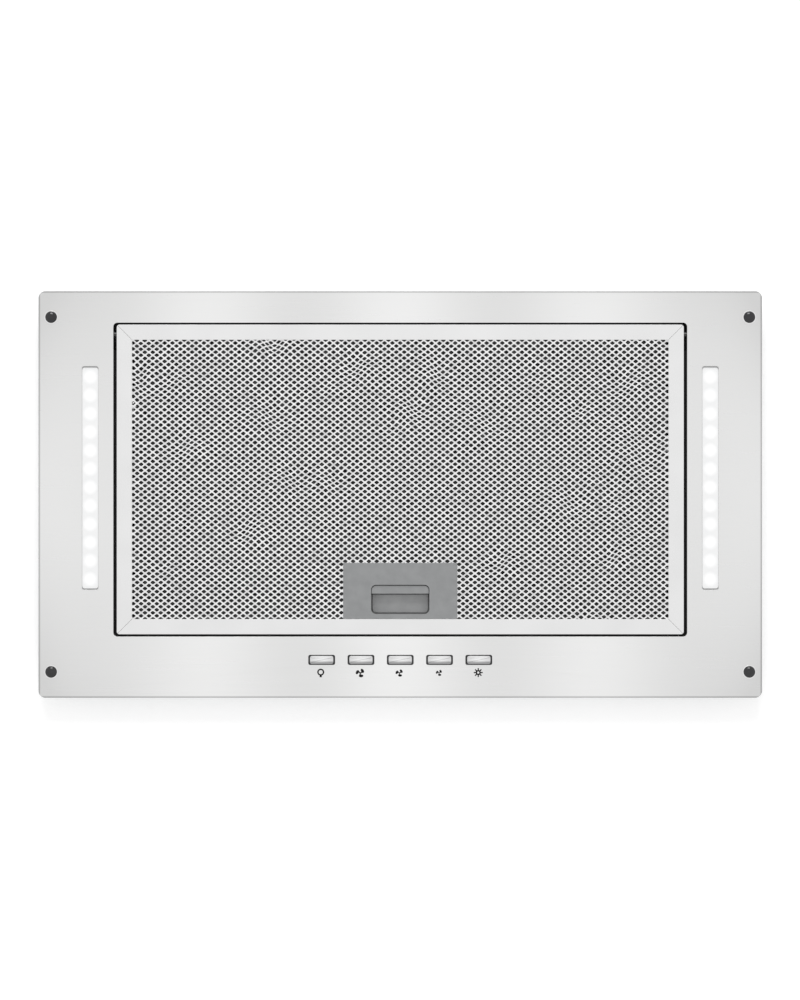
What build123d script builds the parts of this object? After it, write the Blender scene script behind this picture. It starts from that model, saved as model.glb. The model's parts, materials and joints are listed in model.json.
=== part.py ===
from build123d import *
import os
from math import cos, radians, sin, sqrt

# Range hood insert: an extractor that hangs in a cut-out of a cabinet or canopy.
# +Z is up, the buttons are at the front, -Y, and right is +X for a cook who faces the hood.
# The origin is the centre of the flange's seat, the plane that bears on the cabinet.

os.makedirs("parts", exist_ok=True)

# ---------------------------------------------------------------- driving dimensions, mm
sheet = 1.0                 # stainless and galvanised sheet
fit_gap = 0.3               # between neighbours that don't touch
run_gap = 0.06              # radial clearance of a running pin

panel_x, panel_y = 525.0, 295.0
panel_corner = 4.8
hem = 14.0                  # width of the rim that is folded back on itself
face_z = -2 * sheet         # the face that is seen from below
back_z = face_z + sheet     # the back of the single sheet

shell_x, shell_y = 488.0, 256.0
shell_top = 175.0
bead_deep = 1.2
fold_break = 1.2            # of the shell's upper folds

opening_x, opening_y = 416.4, 227.8
opening_cy = 10.8
opening_corner = 3.0
edge_break = 0.5            # on the flange's rolled edge
bracket_gap_x, bracket_gap_y = 6.0, 22.0    # taken out of the upturned edge at each hinge
return_h = 8.0              # the opening's edge, turned up

filter_x, filter_y = 411.4, 224.7
filter_cy = 10.95
filter_thick = 8.5
filter_corner = 2.0
rail_w = 11.0
rail_wall = 0.8
mitre_gap = 0.15            # the open seam between two rails
mesh_thick = 1.0
hinge_back = 7.0            # the hinge line, in from the filter's rear edge
hinge_up = 4.0              # and up from its face
pin_r = 2.0
pin_end_x = 212.2

latch_x, latch_rear, latch_front = 82.8, -49.6, -90.3
pocket_x, pocket_rear, pocket_front = 42.2, -65.6, -86.7
pocket_corner = 3.6
pocket_deep = 8.0
tab_deep = 5.6              # the sliding tab's width, front to rear
tongue_short = 3.6          # the tongue stops this far before the opening's edge

lamp_x, lamp_cy = 225.0, 12.0
lens_w, lens_l = 11.5, 161.8
lens_corner = 1.5
led_pitch, led_count = 13.35, 12

button_pitch, button_y = 28.5, -120.0
slot_w, slot_l, slot_corner = 7.3, 19.4, 1.4
cap_w, cap_l, cap_corner = 5.9, 17.2, 1.3
cap_proud = 2.5
cap_crown = 0.8             # chamfer round the cap's face
button_travel = 3.0
button_names = ["brightness", "fan_low", "fan_medium", "fan_high", "light"]

screw_dx, screw_dy = 506.6, 257.4
screw_r, screw_head_r, screw_head_h = 2.0, 4.3, 2.4
screw_length = 16.0
screw_tip = 2.5             # length of its point
neck_r = 2.4                # of the screw's tapered neck, under its head
screw_hole_r = 2.6
washer_thick, washer_rim = 0.4, 0.6     # the rim shows round the screw's head

duct_y = 18.0               # the collar's centre, behind the panel's
collar_r = 74.5
collar_wall = 2.2
collar_top = 212.0
axle_z = 190.0
flap_thick = 1.6
flap_start = 6.0            # the flaps' straight edge, out from the axle
knuckle_r = 3.4

wheel_r, wheel_eye_r = 48.0, 38.5
wheel_half = 46.0
blade_count = 28
scroll_half = 53.0
scroll_wall = 1.2
scroll_r, scroll_step = 56.0, 8.0
scroll_y = duct_y - 48.0    # the first arc's centre
scroll_z = 84.0
outlet_in, outlet_out = 16.0, 80.0
outlet_z = 148.0
motor_r = 34.5
shaft_r = 4.0

# ---------------------------------------------------------------- sizes worked out from them
filter_rear = filter_cy + filter_y / 2
filter_front = filter_cy - filter_y / 2
seat_z = face_z - washer_thick
hinge_y = filter_rear - hinge_back
hinge_z = face_z + hinge_up
mesh_z = face_z + rail_wall
mesh_top_z = face_z + filter_thick - rail_wall - mesh_thick
cassette_top = face_z + filter_thick
pocket_top = face_z + pocket_deep
slider_z = pocket_top + sheet + fit_gap
cover_top = slider_z + 2 * sheet + fit_gap
wheel_y, wheel_z = scroll_y + 3.0, scroll_z + 3.0
button_x = [(i - 2) * button_pitch for i in range(5)]
button_places = [(x, button_y) for x in button_x]
lamp_places = [(-lamp_x, lamp_cy), (lamp_x, lamp_cy)]
sides = [("left", -1), ("right", 1)]


def save(piece, name):
    piece.part.label = name
    export_step(piece.part, f"parts/{name}.step")


# ---------------------------------------------------------------- the face
# One stainless sheet with a folded rim and an upturned edge round the filter opening.
with BuildPart() as face_panel:
    with BuildSketch(Plane.XY.offset(face_z)):
        RectangleRounded(panel_x, panel_y, panel_corner)
        with Locations((0, opening_cy)):
            RectangleRounded(opening_x, opening_y, opening_corner, mode=Mode.SUBTRACT)
        with Locations(*lamp_places):
            RectangleRounded(lens_w + 2 * fit_gap, lens_l + 2 * fit_gap, lens_corner, mode=Mode.SUBTRACT)
        with Locations(*button_places):
            RectangleRounded(slot_l, slot_w, slot_corner, mode=Mode.SUBTRACT)
    extrude(amount=sheet)
    with BuildSketch(Plane.XY.offset(back_z)):
        RectangleRounded(panel_x, panel_y, panel_corner)
        Rectangle(panel_x - 2 * hem, panel_y - 2 * hem, mode=Mode.SUBTRACT)
    extrude(amount=sheet)
    with BuildSketch(Plane.XY.offset(back_z)):
        with Locations((0, opening_cy)):
            RectangleRounded(opening_x + 2 * sheet, opening_y + 2 * sheet, opening_corner + sheet)
            RectangleRounded(opening_x, opening_y, opening_corner, mode=Mode.SUBTRACT)
    extrude(amount=return_h)
    # the upturned edge stops short of the hinge brackets
    with BuildSketch(Plane.XY.offset(back_z)):
        with Locations((-opening_x / 2, hinge_y), (opening_x / 2, hinge_y)):
            Rectangle(bracket_gap_x, bracket_gap_y)
    extrude(amount=return_h, mode=Mode.SUBTRACT)
    with GridLocations(screw_dx, screw_dy, 2, 2):
        Hole(screw_hole_r)
    rolled_edge = face_panel.faces().sort_by(Axis.Z)[0].outer_wire().edges()
    chamfer(rolled_edge, edge_break)
save(face_panel, "face_panel")

# Black domed screws in cup washers hold the flange up against the cabinet.
with BuildPart() as fixing_screw:
    with BuildSketch(Plane.XZ):
        with BuildLine():
            Polyline(
                (0, face_z + screw_length),
                (0, seat_z - screw_head_h),
                (screw_head_r * 0.6, seat_z - screw_head_h * 0.8),
                (screw_head_r, seat_z),
                (neck_r, seat_z),
                (screw_r, 0),
                (screw_r, face_z + screw_length - screw_tip),
                (0, face_z + screw_length),
            )
        make_face()
    revolve(axis=Axis.Z)

with BuildPart() as fixing_screws:
    with GridLocations(screw_dx, screw_dy, 2, 2):
        add(fixing_screw.part)
save(fixing_screws, "fixing_screws")

with BuildPart() as screw_washers:
    with BuildSketch(Plane.XY.offset(face_z)):
        with GridLocations(screw_dx, screw_dy, 2, 2):
            Circle(screw_head_r + washer_rim)
            Circle(screw_hole_r, mode=Mode.SUBTRACT)
    extrude(amount=-washer_thick)
save(screw_washers, "screw_washers")

# ---------------------------------------------------------------- the housing
# One galvanised sheet is folded down at the front and the rear, and two end plates close it.
foot_l, foot_w, foot_x = 60.0, 13.0, 130.0
gland_place = (205.0, 70.0)
gland_hole_r = 8.2
bead_w = 12.0
top_bead_l, wall_bead_l, end_bead_l = 380.0, 400.0, 190.0
wall_bead_z = 90.0
top_beads = [(0, -85), (0, 112)]

with BuildPart() as housing_wrap:
    with BuildSketch(Plane.YZ.offset(sheet - shell_x / 2)):
        with Locations((0, (shell_top + back_z) / 2)):
            Rectangle(shell_y, shell_top - back_z)
        with Locations((0, (shell_top + back_z) / 2 - sheet)):
            Rectangle(shell_y - 2 * sheet, shell_top - back_z, mode=Mode.SUBTRACT)
    extrude(amount=shell_x - 2 * sheet)
    chamfer(housing_wrap.edges().filter_by(Axis.X).group_by(Axis.Z)[-1], fold_break)
    # swaged beads: grooves outside, ridges inside
    with BuildSketch(Plane.XY.offset(shell_top - sheet)):
        with Locations(*top_beads):
            Rectangle(top_bead_l, bead_w)
    extrude(amount=-bead_deep)
    with BuildSketch(Plane.XY.offset(shell_top)):
        with Locations(*top_beads):
            Rectangle(top_bead_l - 2 * sheet, bead_w - 2 * sheet)
    extrude(amount=-bead_deep, mode=Mode.SUBTRACT)
    for side_y, inward in ((-shell_y / 2, -1), (shell_y / 2, 1)):
        with BuildSketch(Plane.XZ.offset(-side_y + inward * sheet)):
            with Locations((0, wall_bead_z)):
                Rectangle(wall_bead_l, bead_w)
        extrude(amount=inward * bead_deep)
        with BuildSketch(Plane.XZ.offset(-side_y)):
            with Locations((0, wall_bead_z)):
                Rectangle(wall_bead_l - 2 * sheet, bead_w - 2 * sheet)
        extrude(amount=inward * bead_deep, mode=Mode.SUBTRACT)
    # feet that are spot-welded to the panel
    with BuildSketch(Plane.XY.offset(back_z)):
        with Locations((0, -shell_y / 2 + foot_w / 2)):
            with GridLocations(2 * foot_x, 1, 2, 1):
                Rectangle(foot_l, foot_w)
    extrude(amount=sheet)
    with Locations((0, duct_y, shell_top)):
        Hole(collar_r - collar_wall, 4 * sheet)
    with Locations((*gland_place, shell_top)):
        Hole(gland_hole_r, 4 * sheet)
save(housing_wrap, "housing_wrap")

for side, sign in sides:
    with BuildPart() as housing_end:
        with BuildSketch(Plane.YZ.offset(sign * (shell_x / 2 - sheet))):
            with Locations((0, (shell_top + back_z) / 2)):
                Rectangle(shell_y, shell_top - back_z)
        extrude(amount=sign * sheet)
        with BuildSketch(Plane.YZ.offset(sign * (shell_x / 2 - sheet))):
            with Locations((0, wall_bead_z)):
                Rectangle(end_bead_l, bead_w)
        extrude(amount=-sign * bead_deep)
        with BuildSketch(Plane.YZ.offset(sign * shell_x / 2)):
            with Locations((0, wall_bead_z)):
                Rectangle(end_bead_l - 2 * sheet, bead_w - 2 * sheet)
        extrude(amount=-sign * bead_deep, mode=Mode.SUBTRACT)
    save(housing_end, f"housing_end_{side}")

# ---------------------------------------------------------------- collar and back-draught damper
collar_in_r = collar_r - collar_wall
collar_ring_r = 88.0
flap_clear = 1.8
flap_r = collar_in_r - flap_clear
boss_in, boss_w, boss_h = 66.0, 8.0, 9.0
collar_screw_r, collar_screw_head_r, collar_screw_head_h = 83.0, 3.4, 2.0
lip_thick = 1.2
ring_thick = 2 * lip_thick
ring_gap = 0.2
ledge_w, ledge_h = 3.2, 4.0    # the flaps rest on this ledge
roll_w, roll_h = 0.9, 1.2      # the collar's rim, drawn in so that a duct slips over it

root_r, lip_r = collar_r + 1.4, collar_r + 4.0
root_top = shell_top + 3.6
ledge_z = axle_z - flap_thick / 2 - fit_gap
with BuildPart() as exhaust_collar:
    with BuildSketch(Plane.XZ.offset(-duct_y)):
        with BuildLine():
            Polyline(
                (collar_in_r, shell_top),
                (lip_r, shell_top),
                (lip_r, shell_top + lip_thick),
                (root_r, shell_top + lip_thick),
                (root_r, root_top),
                (collar_r, root_top),
                (collar_r, collar_top - roll_h),
                (collar_r - roll_w, collar_top),
                (collar_in_r, collar_top),
                (collar_in_r, ledge_z),
                (collar_in_r - ledge_w, ledge_z),
                (collar_in_r, ledge_z - ledge_h),
                close=True,
            )
        make_face()
    revolve(axis=Axis((0, duct_y, 0), (0, 0, 1)))
    # two bosses carry the axle's ends
    with BuildSketch(Plane.XY.offset(axle_z - boss_h / 2)):
        with Locations((0, duct_y)):
            Circle(collar_in_r + collar_wall / 2)
            Circle(boss_in, mode=Mode.SUBTRACT)
            Rectangle(boss_w, 2 * collar_r, mode=Mode.INTERSECT)
    extrude(amount=boss_h)
    with BuildSketch(Plane.XZ.offset(-duct_y)):
        with Locations((0, axle_z)):
            Circle(pin_r)
    extrude(amount=collar_in_r, both=True, mode=Mode.SUBTRACT)
save(exhaust_collar, "exhaust_collar")

# a ring clamps the collar's lip to the housing
with BuildPart() as collar_ring:
    with BuildSketch(Plane.XZ.offset(-duct_y)):
        with BuildLine():
            Polyline(
                (root_r + ring_gap, shell_top + lip_thick),
                (lip_r + ring_gap, shell_top + lip_thick),
                (lip_r + ring_gap, shell_top),
                (collar_ring_r, shell_top),
                (collar_ring_r, shell_top + ring_thick),
                (root_r + ring_gap, shell_top + ring_thick),
                close=True,
            )
        make_face()
    revolve(axis=Axis((0, duct_y, 0), (0, 0, 1)))
save(collar_ring, "collar_ring")

with BuildPart() as damper_axle:
    with BuildSketch(Plane.XZ.offset(-duct_y)):
        with Locations((0, axle_z)):
            Circle(pin_r)
    extrude(amount=collar_in_r, both=True)
save(damper_axle, "damper_axle")

# Each flap is a half disc with its own knuckles on the one axle.
rib_l, rib_w, rib_h, rib_x = 50.0, 2.0, 2.6, 36.0
knuckle_spans = {"left": [(-65, -45), (-10, 10), (45, 65)], "right": [(-44.5, -10.5), (10.5, 44.5)]}
for side, sign in sides:
    with BuildPart() as damper_flap:
        with BuildSketch(Plane.XY.offset(axle_z - flap_thick / 2)):
            with Locations((0, duct_y)):
                Circle(flap_r)
                with Locations((sign * (flap_start + flap_r / 2), 0)):
                    Rectangle(flap_r, 2 * flap_r, mode=Mode.INTERSECT)
            for low, high in knuckle_spans[side]:
                with Locations((sign * (flap_start + 1) / 2, duct_y + (low + high) / 2)):
                    Rectangle(flap_start + 1, high - low)
        extrude(amount=flap_thick)
        # a stiffening rib along the flap's middle
        with BuildSketch(Plane.XY.offset(axle_z)):
            with Locations((sign * rib_x, duct_y)):
                Rectangle(rib_l, rib_w)
        extrude(amount=rib_h)
        for low, high in knuckle_spans[side]:
            with BuildSketch(Plane.XZ.offset(-duct_y - low)):
                with Locations((0, axle_z)):
                    Circle(knuckle_r)
            extrude(amount=low - high)
        with BuildSketch(Plane.XZ.offset(-duct_y)):
            with Locations((0, axle_z)):
                Circle(pin_r + run_gap)
        extrude(amount=collar_in_r, both=True, mode=Mode.SUBTRACT)
    save(damper_flap, f"damper_flap_{side}")

with BuildPart() as collar_screws:
    with BuildSketch(Plane.XY.offset(shell_top + ring_thick)):
        with Locations((0, duct_y)):
            with PolarLocations(collar_screw_r, 4, start_angle=45):
                RegularPolygon(collar_screw_head_r, 6)
    extrude(amount=collar_screw_head_h)
save(collar_screws, "collar_screws")

# ---------------------------------------------------------------- the blower
# The scroll is drawn as a fan maker draws it: quarter arcs whose centres step round a
# small square, then a straight wall up to the outlet.
tongue_z = scroll_z + sqrt(scroll_r**2 - outlet_in**2)
arc2_y = scroll_y + scroll_step
arc3_z = scroll_z + scroll_step
arc2_r = scroll_r + scroll_step
arc3_r = scroll_r + 2 * scroll_step
half = sqrt(0.5)
outlet_mid = scroll_y + (outlet_in + outlet_out) / 2
trim_w, trim_h = 140.0, 10.0    # cuts the offset outline off level with the outlet

with BuildSketch(Plane.YZ) as air_passage:
    with BuildLine():
        Line((scroll_y + outlet_in, outlet_z), (scroll_y + outlet_in, tongue_z))
        ThreePointArc(
            (scroll_y + outlet_in, tongue_z),
            (scroll_y - scroll_r * half, scroll_z + scroll_r * half),
            (scroll_y - scroll_r, scroll_z),
        )
        ThreePointArc(
            (scroll_y - scroll_r, scroll_z),
            (arc2_y - arc2_r * half, scroll_z - arc2_r * half),
            (arc2_y, scroll_z - arc2_r),
        )
        ThreePointArc(
            (arc2_y, scroll_z - arc2_r),
            (arc2_y + arc3_r * half, arc3_z - arc3_r * half),
            (arc2_y + arc3_r, arc3_z),
        )
        Line((arc2_y + arc3_r, arc3_z), (arc2_y + arc3_r, outlet_z))
        Line((arc2_y + arc3_r, outlet_z), (scroll_y + outlet_in, outlet_z))
    make_face()

with BuildPart() as scroll_wrap:
    with BuildSketch(Plane.YZ.offset(-scroll_half)):
        add(air_passage.sketch_local)
        offset(amount=scroll_wall, kind=Kind.INTERSECTION)
        add(air_passage.sketch_local, mode=Mode.SUBTRACT)
        with Locations((outlet_mid, outlet_z + trim_h / 2)):
            Rectangle(trim_w, trim_h, mode=Mode.SUBTRACT)
    extrude(amount=2 * scroll_half)
save(scroll_wrap, "scroll_wrap")

inlet_r = 43.0
seat_w, flange_edge = 3.0, 9.0      # the inlet ring's seat and flange, out from its throat
throat_in, throat_out = 5.0, 2.0    # the throat, in and out from the cheek
flare_w, flare_out = 5.0, 7.0
cheek_margin = 6.0
for side, sign in sides:
    with BuildPart() as scroll_cheek:
        with BuildSketch(Plane.YZ.offset(sign * scroll_half)):
            add(air_passage.sketch_local)
            offset(amount=cheek_margin, kind=Kind.ARC)
            with Locations((outlet_mid, outlet_z + trim_h / 2)):
                Rectangle(trim_w, trim_h, mode=Mode.SUBTRACT)
            with Locations((wheel_y, wheel_z)):
                Circle(inlet_r + seat_w, mode=Mode.SUBTRACT)
        extrude(amount=sign * scroll_wall)
    save(scroll_cheek, f"scroll_cheek_{side}")

    # a flared ring leads the air into the wheel's eye
    ring_x = sign * (scroll_half + scroll_wall)
    with BuildPart() as inlet_ring:
        with BuildSketch(Plane.XY.offset(wheel_z)):
            with BuildLine():
                Polyline(
                    (ring_x, wheel_y + inlet_r + flange_edge),
                    (ring_x, wheel_y + inlet_r + seat_w),
                    (ring_x - sign * throat_in, wheel_y + inlet_r),
                    (ring_x + sign * throat_out, wheel_y + inlet_r),
                    (ring_x + sign * flare_out, wheel_y + inlet_r + flare_w),
                    close=True,
                )
            make_face()
        revolve(axis=Axis((0, wheel_y, wheel_z), (1, 0, 0)))
    save(inlet_ring, f"inlet_ring_{side}")

# A double wheel: each half has its own forward-curved blades and end ring, and the left one
# carries the disc and the hub.
hub_r, hub_half = 9.0, 10.0
blade_thick = 0.9
blade_lean = radians(9)
tip_r = wheel_r - 0.5
tip_y, tip_z = tip_r * cos(blade_lean), tip_r * sin(blade_lean)
end_ring_w, end_ring_thick = 3.5, 2.0
belly_y, belly_z, belly_step = 43.4, 1.5, 0.3

with BuildSketch(Plane.YZ) as blade:
    with BuildLine():
        Polyline(
            (wheel_eye_r, 0),
            (belly_y, belly_z),
            (tip_y, tip_z),
            (tip_y - blade_thick, tip_z + blade_thick),
            (belly_y - belly_step, belly_z + blade_thick),
            (wheel_eye_r, blade_thick),
            close=True,
        )
    make_face()

disc_half = 0.8
for side, sign in sides:
    with BuildPart() as impeller:
        with BuildSketch(Plane.YZ.offset(sign * disc_half)):
            with Locations((wheel_y, wheel_z)):
                with PolarLocations(0, blade_count):
                    add(blade.sketch_local)
        extrude(amount=sign * (wheel_half - disc_half))
        with BuildSketch(Plane.YZ.offset(sign * wheel_half)):
            with Locations((wheel_y, wheel_z)):
                Circle(wheel_r)
                Circle(wheel_r - end_ring_w, mode=Mode.SUBTRACT)
        extrude(amount=-sign * end_ring_thick)
        if side == "left":
            with BuildSketch(Plane.YZ.offset(-disc_half)):
                with Locations((wheel_y, wheel_z)):
                    Circle(wheel_r)
                    Circle(shaft_r, mode=Mode.SUBTRACT)
            extrude(amount=2 * disc_half)
            with BuildSketch(Plane.YZ.offset(disc_half)):
                with Locations((wheel_y, wheel_z)):
                    Circle(hub_r)
                    Circle(shaft_r, mode=Mode.SUBTRACT)
            extrude(amount=hub_half - disc_half)
    save(impeller, f"impeller_{side}")

shaft_in, shaft_out = -52.0, 18.0
nut_r, nut_h = 7.5, 5.0
with BuildPart() as motor_shaft:
    with BuildSketch(Plane.YZ.offset(shaft_in)):
        with Locations((wheel_y, wheel_z)):
            Circle(shaft_r)
    extrude(amount=shaft_out - shaft_in)
save(motor_shaft, "motor_shaft")

with BuildPart() as impeller_nut:
    with BuildSketch(Plane.YZ.offset(hub_half)):
        with Locations((wheel_y, wheel_z)):
            RegularPolygon(nut_r, 6)
            Circle(shaft_r, mode=Mode.SUBTRACT)
    extrude(amount=nut_h)
save(impeller_nut, "impeller_nut")

# The motor sits in the left eye, most of it inside the wheel.
motor_in, motor_out = -4.0, -74.0
motor_nose_r, motor_back_r, motor_shoulder = 11.0, motor_r - 12.0, 5.0
motor_front, motor_body, motor_rear = motor_in - 8.0, motor_in - 16.0, motor_in - 44.0
motor_dome = motor_in - 58.0
bracket_r, bracket_thick = 24.0, 2.0
bracket_x = motor_out - bracket_thick
with BuildPart() as motor:
    with BuildSketch(Plane.XY.offset(wheel_z)):
        with BuildLine():
            Polyline(
                (motor_in, wheel_y + shaft_r + run_gap),
                (motor_in, wheel_y + motor_nose_r),
                (motor_front, wheel_y + motor_r - motor_shoulder),
                (motor_body, wheel_y + motor_r),
                (motor_rear, wheel_y + motor_r),
                (motor_dome, wheel_y + motor_r - motor_shoulder),
                (motor_out, wheel_y + motor_back_r),
                (motor_out, wheel_y),
                (shaft_in - 1.0, wheel_y),
                (shaft_in - 1.0, wheel_y + shaft_r + run_gap),
                close=True,
            )
        make_face()
    revolve(axis=Axis((0, wheel_y, wheel_z), (1, 0, 0)))
save(motor, "motor")

arm_r, arm_w, foot_r = 60.0, 12.0, 7.0
bolt_r, bolt_head_r, bolt_head_h = 2.0, 4.2, 3.2
bolt_hole_r, grommet_bore_r = 2.2, 3.0
arm_angles = [30, 150, 270]
arm_places = [(wheel_y + arm_r * cos(radians(a)), wheel_z + arm_r * sin(radians(a))) for a in arm_angles]
grommet_x = -(scroll_half + scroll_wall)
with BuildPart() as motor_bracket:
    with BuildSketch(Plane.YZ.offset(bracket_x)):
        with Locations((wheel_y, wheel_z)):
            Circle(bracket_r)
            for a in arm_angles:
                with Locations(Location((0, 0, 0), (0, 0, a))):
                    with Locations((arm_r / 2, 0)):
                        Rectangle(arm_r, arm_w)
        with Locations(*arm_places):
            Circle(foot_r)
        with Locations(*arm_places):
            Circle(bolt_hole_r, mode=Mode.SUBTRACT)
    extrude(amount=bracket_thick)
save(motor_bracket, "motor_bracket")

with BuildPart() as motor_grommets:
    with BuildSketch(Plane.YZ.offset(grommet_x)):
        with Locations(*arm_places):
            Circle(foot_r)
            Circle(grommet_bore_r, mode=Mode.SUBTRACT)
    extrude(amount=motor_out - grommet_x)
save(motor_grommets, "motor_grommets")

# Rubber-mounted bolts through the bracket's feet.
with BuildPart() as motor_bolts:
    with BuildSketch(Plane.YZ.offset(grommet_x)):
        with Locations(*arm_places):
            Circle(bolt_r)
    extrude(amount=bracket_x - grommet_x)
    with BuildSketch(Plane.YZ.offset(bracket_x)):
        with Locations(*arm_places):
            RegularPolygon(bolt_head_r, 6)
    extrude(amount=-bolt_head_h)
save(motor_bolts, "motor_bolts")

# A folded hopper opens the blower's outlet out to the collar.
outlet_half_y = (outlet_out - outlet_in) / 2
duct_top = shell_top - sheet
duct_bottom = outlet_z
hopper_half = collar_in_r + 1.0
outline_of = {}
for layer, wall in (("outside", scroll_wall), ("inside", 0.0)):
    with BuildPart() as hopper:
        for plane, centre, low_half in ((Plane.XZ, 0, scroll_half), (Plane.YZ, duct_y, outlet_half_y)):
            corners = [
                (centre - low_half - wall, duct_bottom),
                (centre + low_half + wall, duct_bottom),
                (centre + hopper_half + wall, duct_top),
                (centre - hopper_half - wall, duct_top),
            ]
            with BuildSketch(plane):
                Polygon(*corners, align=None)
            extrude(amount=shell_y, both=True, mode=Mode.ADD if plane == Plane.XZ else Mode.INTERSECT)
    outline_of[layer] = hopper.part

with BuildPart() as outlet_duct:
    add(outline_of["outside"])
    add(outline_of["inside"], mode=Mode.SUBTRACT)
save(outlet_duct, "outlet_duct")

# ---------------------------------------------------------------- electrics under the top
box_x, box_y, box_h = 112.0, 62.0, 36.0
box_place = (150.0, -75.0)
box_wall, box_corner, post_w = 2.0, 4.0, 6.0
lid_thick, lid_break = 2.5, 1.0
lid_rim_x, lid_rim_y, lid_rim_w, lid_rim_h = 90.0, 40.0, 1.5, 2.0
box_bottom = shell_top - sheet - bead_deep - box_h
with BuildPart() as control_box:
    with BuildSketch(Plane.XY.offset(box_bottom)):
        with Locations(box_place):
            RectangleRounded(box_x, box_y, box_corner)
    extrude(amount=box_h)
    offset(amount=-box_wall, openings=control_box.faces().sort_by(Axis.Z)[0])
    with BuildSketch(Plane.XY.offset(box_bottom)):
        with Locations(box_place):
            with GridLocations(box_x - 4 * box_wall, box_y - 4 * box_wall, 2, 2):
                Rectangle(post_w, post_w)
    extrude(amount=box_h - box_wall)
save(control_box, "control_box")

with BuildPart() as control_box_lid:
    with BuildSketch(Plane.XY.offset(box_bottom)):
        with Locations(box_place):
            RectangleRounded(box_x, box_y, box_corner)
    extrude(amount=-lid_thick)
    chamfer(control_box_lid.faces().sort_by(Axis.Z)[0].edges(), lid_break)
    with BuildSketch(Plane.XY.offset(box_bottom)):
        with Locations(box_place):
            Rectangle(lid_rim_x, lid_rim_y)
            Rectangle(lid_rim_x - 2 * lid_rim_w, lid_rim_y - 2 * lid_rim_w, mode=Mode.SUBTRACT)
    extrude(amount=lid_rim_h)
save(control_box_lid, "control_box_lid")

board_z = box_bottom + 22.0
board_x, board_y, board_thick = 90.0, 48.0, 1.6
relay_x, relay_y, relay_h = 16.0, 13.0, 13.0
relay_places = [(box_place[0] - 28, box_place[1] - 10), (box_place[0] - 8, box_place[1] - 10)]
choke_place = (box_place[0] + 22, box_place[1] + 6)
terminals_place = (box_place[0] + 26, box_place[1] - 14)
choke_r, terminals_x, terminals_y, low_parts_h = 6.5, 26.0, 10.0, 9.0
with BuildPart() as control_board:
    with BuildSketch(Plane.XY.offset(board_z)):
        with Locations(box_place):
            Rectangle(board_x, board_y)
    extrude(amount=board_thick)
    with BuildSketch(Plane.XY.offset(board_z)):
        with Locations(*relay_places):
            Rectangle(relay_x, relay_y)
    extrude(amount=-relay_h)
    with BuildSketch(Plane.XY.offset(board_z)):
        with Locations(choke_place):
            Circle(choke_r)
        with Locations(terminals_place):
            Rectangle(terminals_x, terminals_y)
    extrude(amount=-low_parts_h)
save(control_board, "control_board")

# The mains lead's gland goes through the housing's top; the lead isn't part of the model.
gland_bore_r = 4.5
gland_hex_r, gland_hex_h = 12.5, 6.0
gland_nose_r, gland_nose_h, gland_taper = 10.5, 12.0, 9
gland_thread_r, gland_thread_h = 8.0, 12.0
with BuildPart() as cable_gland:
    with BuildSketch(Plane.XY.offset(shell_top)):
        with Locations(gland_place):
            RegularPolygon(gland_hex_r, 6)
    extrude(amount=gland_hex_h)
    with BuildSketch(Plane.XY.offset(shell_top + gland_hex_h)):
        with Locations(gland_place):
            Circle(gland_nose_r)
    extrude(amount=gland_nose_h, taper=gland_taper)
    with BuildSketch(Plane.XY.offset(shell_top)):
        with Locations(gland_place):
            Circle(gland_thread_r)
    extrude(amount=-gland_thread_h)
    with BuildSketch(Plane.XY.offset(shell_top - gland_thread_h)):
        with Locations(gland_place):
            Circle(gland_bore_r)
    extrude(amount=gland_thread_h + gland_hex_h + gland_nose_h, mode=Mode.SUBTRACT)
save(cable_gland, "cable_gland")

# The motor's run capacitor hangs from the top by a moulded foot.
can_y, can_x, can_l, can_r = 78.0, 100.0, 62.0, 16.0
can_foot_l, can_foot_w, can_foot_h, can_break = 31.0, 12.0, 2.0, 1.2
tag_x, tag_y, tag_l, tag_pitch = 0.8, 6.3, 9.0, 10.0
capacitor_z = shell_top - sheet - can_foot_h - can_r
with BuildPart() as capacitor:
    with BuildSketch(Plane.YZ.offset(can_x)):
        with Locations((can_y, capacitor_z)):
            Circle(can_r)
    extrude(amount=can_l)
    chamfer(capacitor.edges().filter_by(GeomType.CIRCLE), can_break)
    with BuildSketch(Plane.YZ.offset(can_x + can_l)):
        with Locations((can_y, capacitor_z)):
            with GridLocations(tag_pitch, 1, 2, 1):
                Rectangle(tag_x, tag_y)
    extrude(amount=tag_l)
    with BuildSketch(Plane.XY.offset(shell_top - sheet)):
        with Locations((can_x + can_l / 2, can_y)):
            Rectangle(can_foot_l, can_foot_w)
    extrude(amount=-2 * can_foot_h)
save(capacitor, "capacitor")

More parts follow.
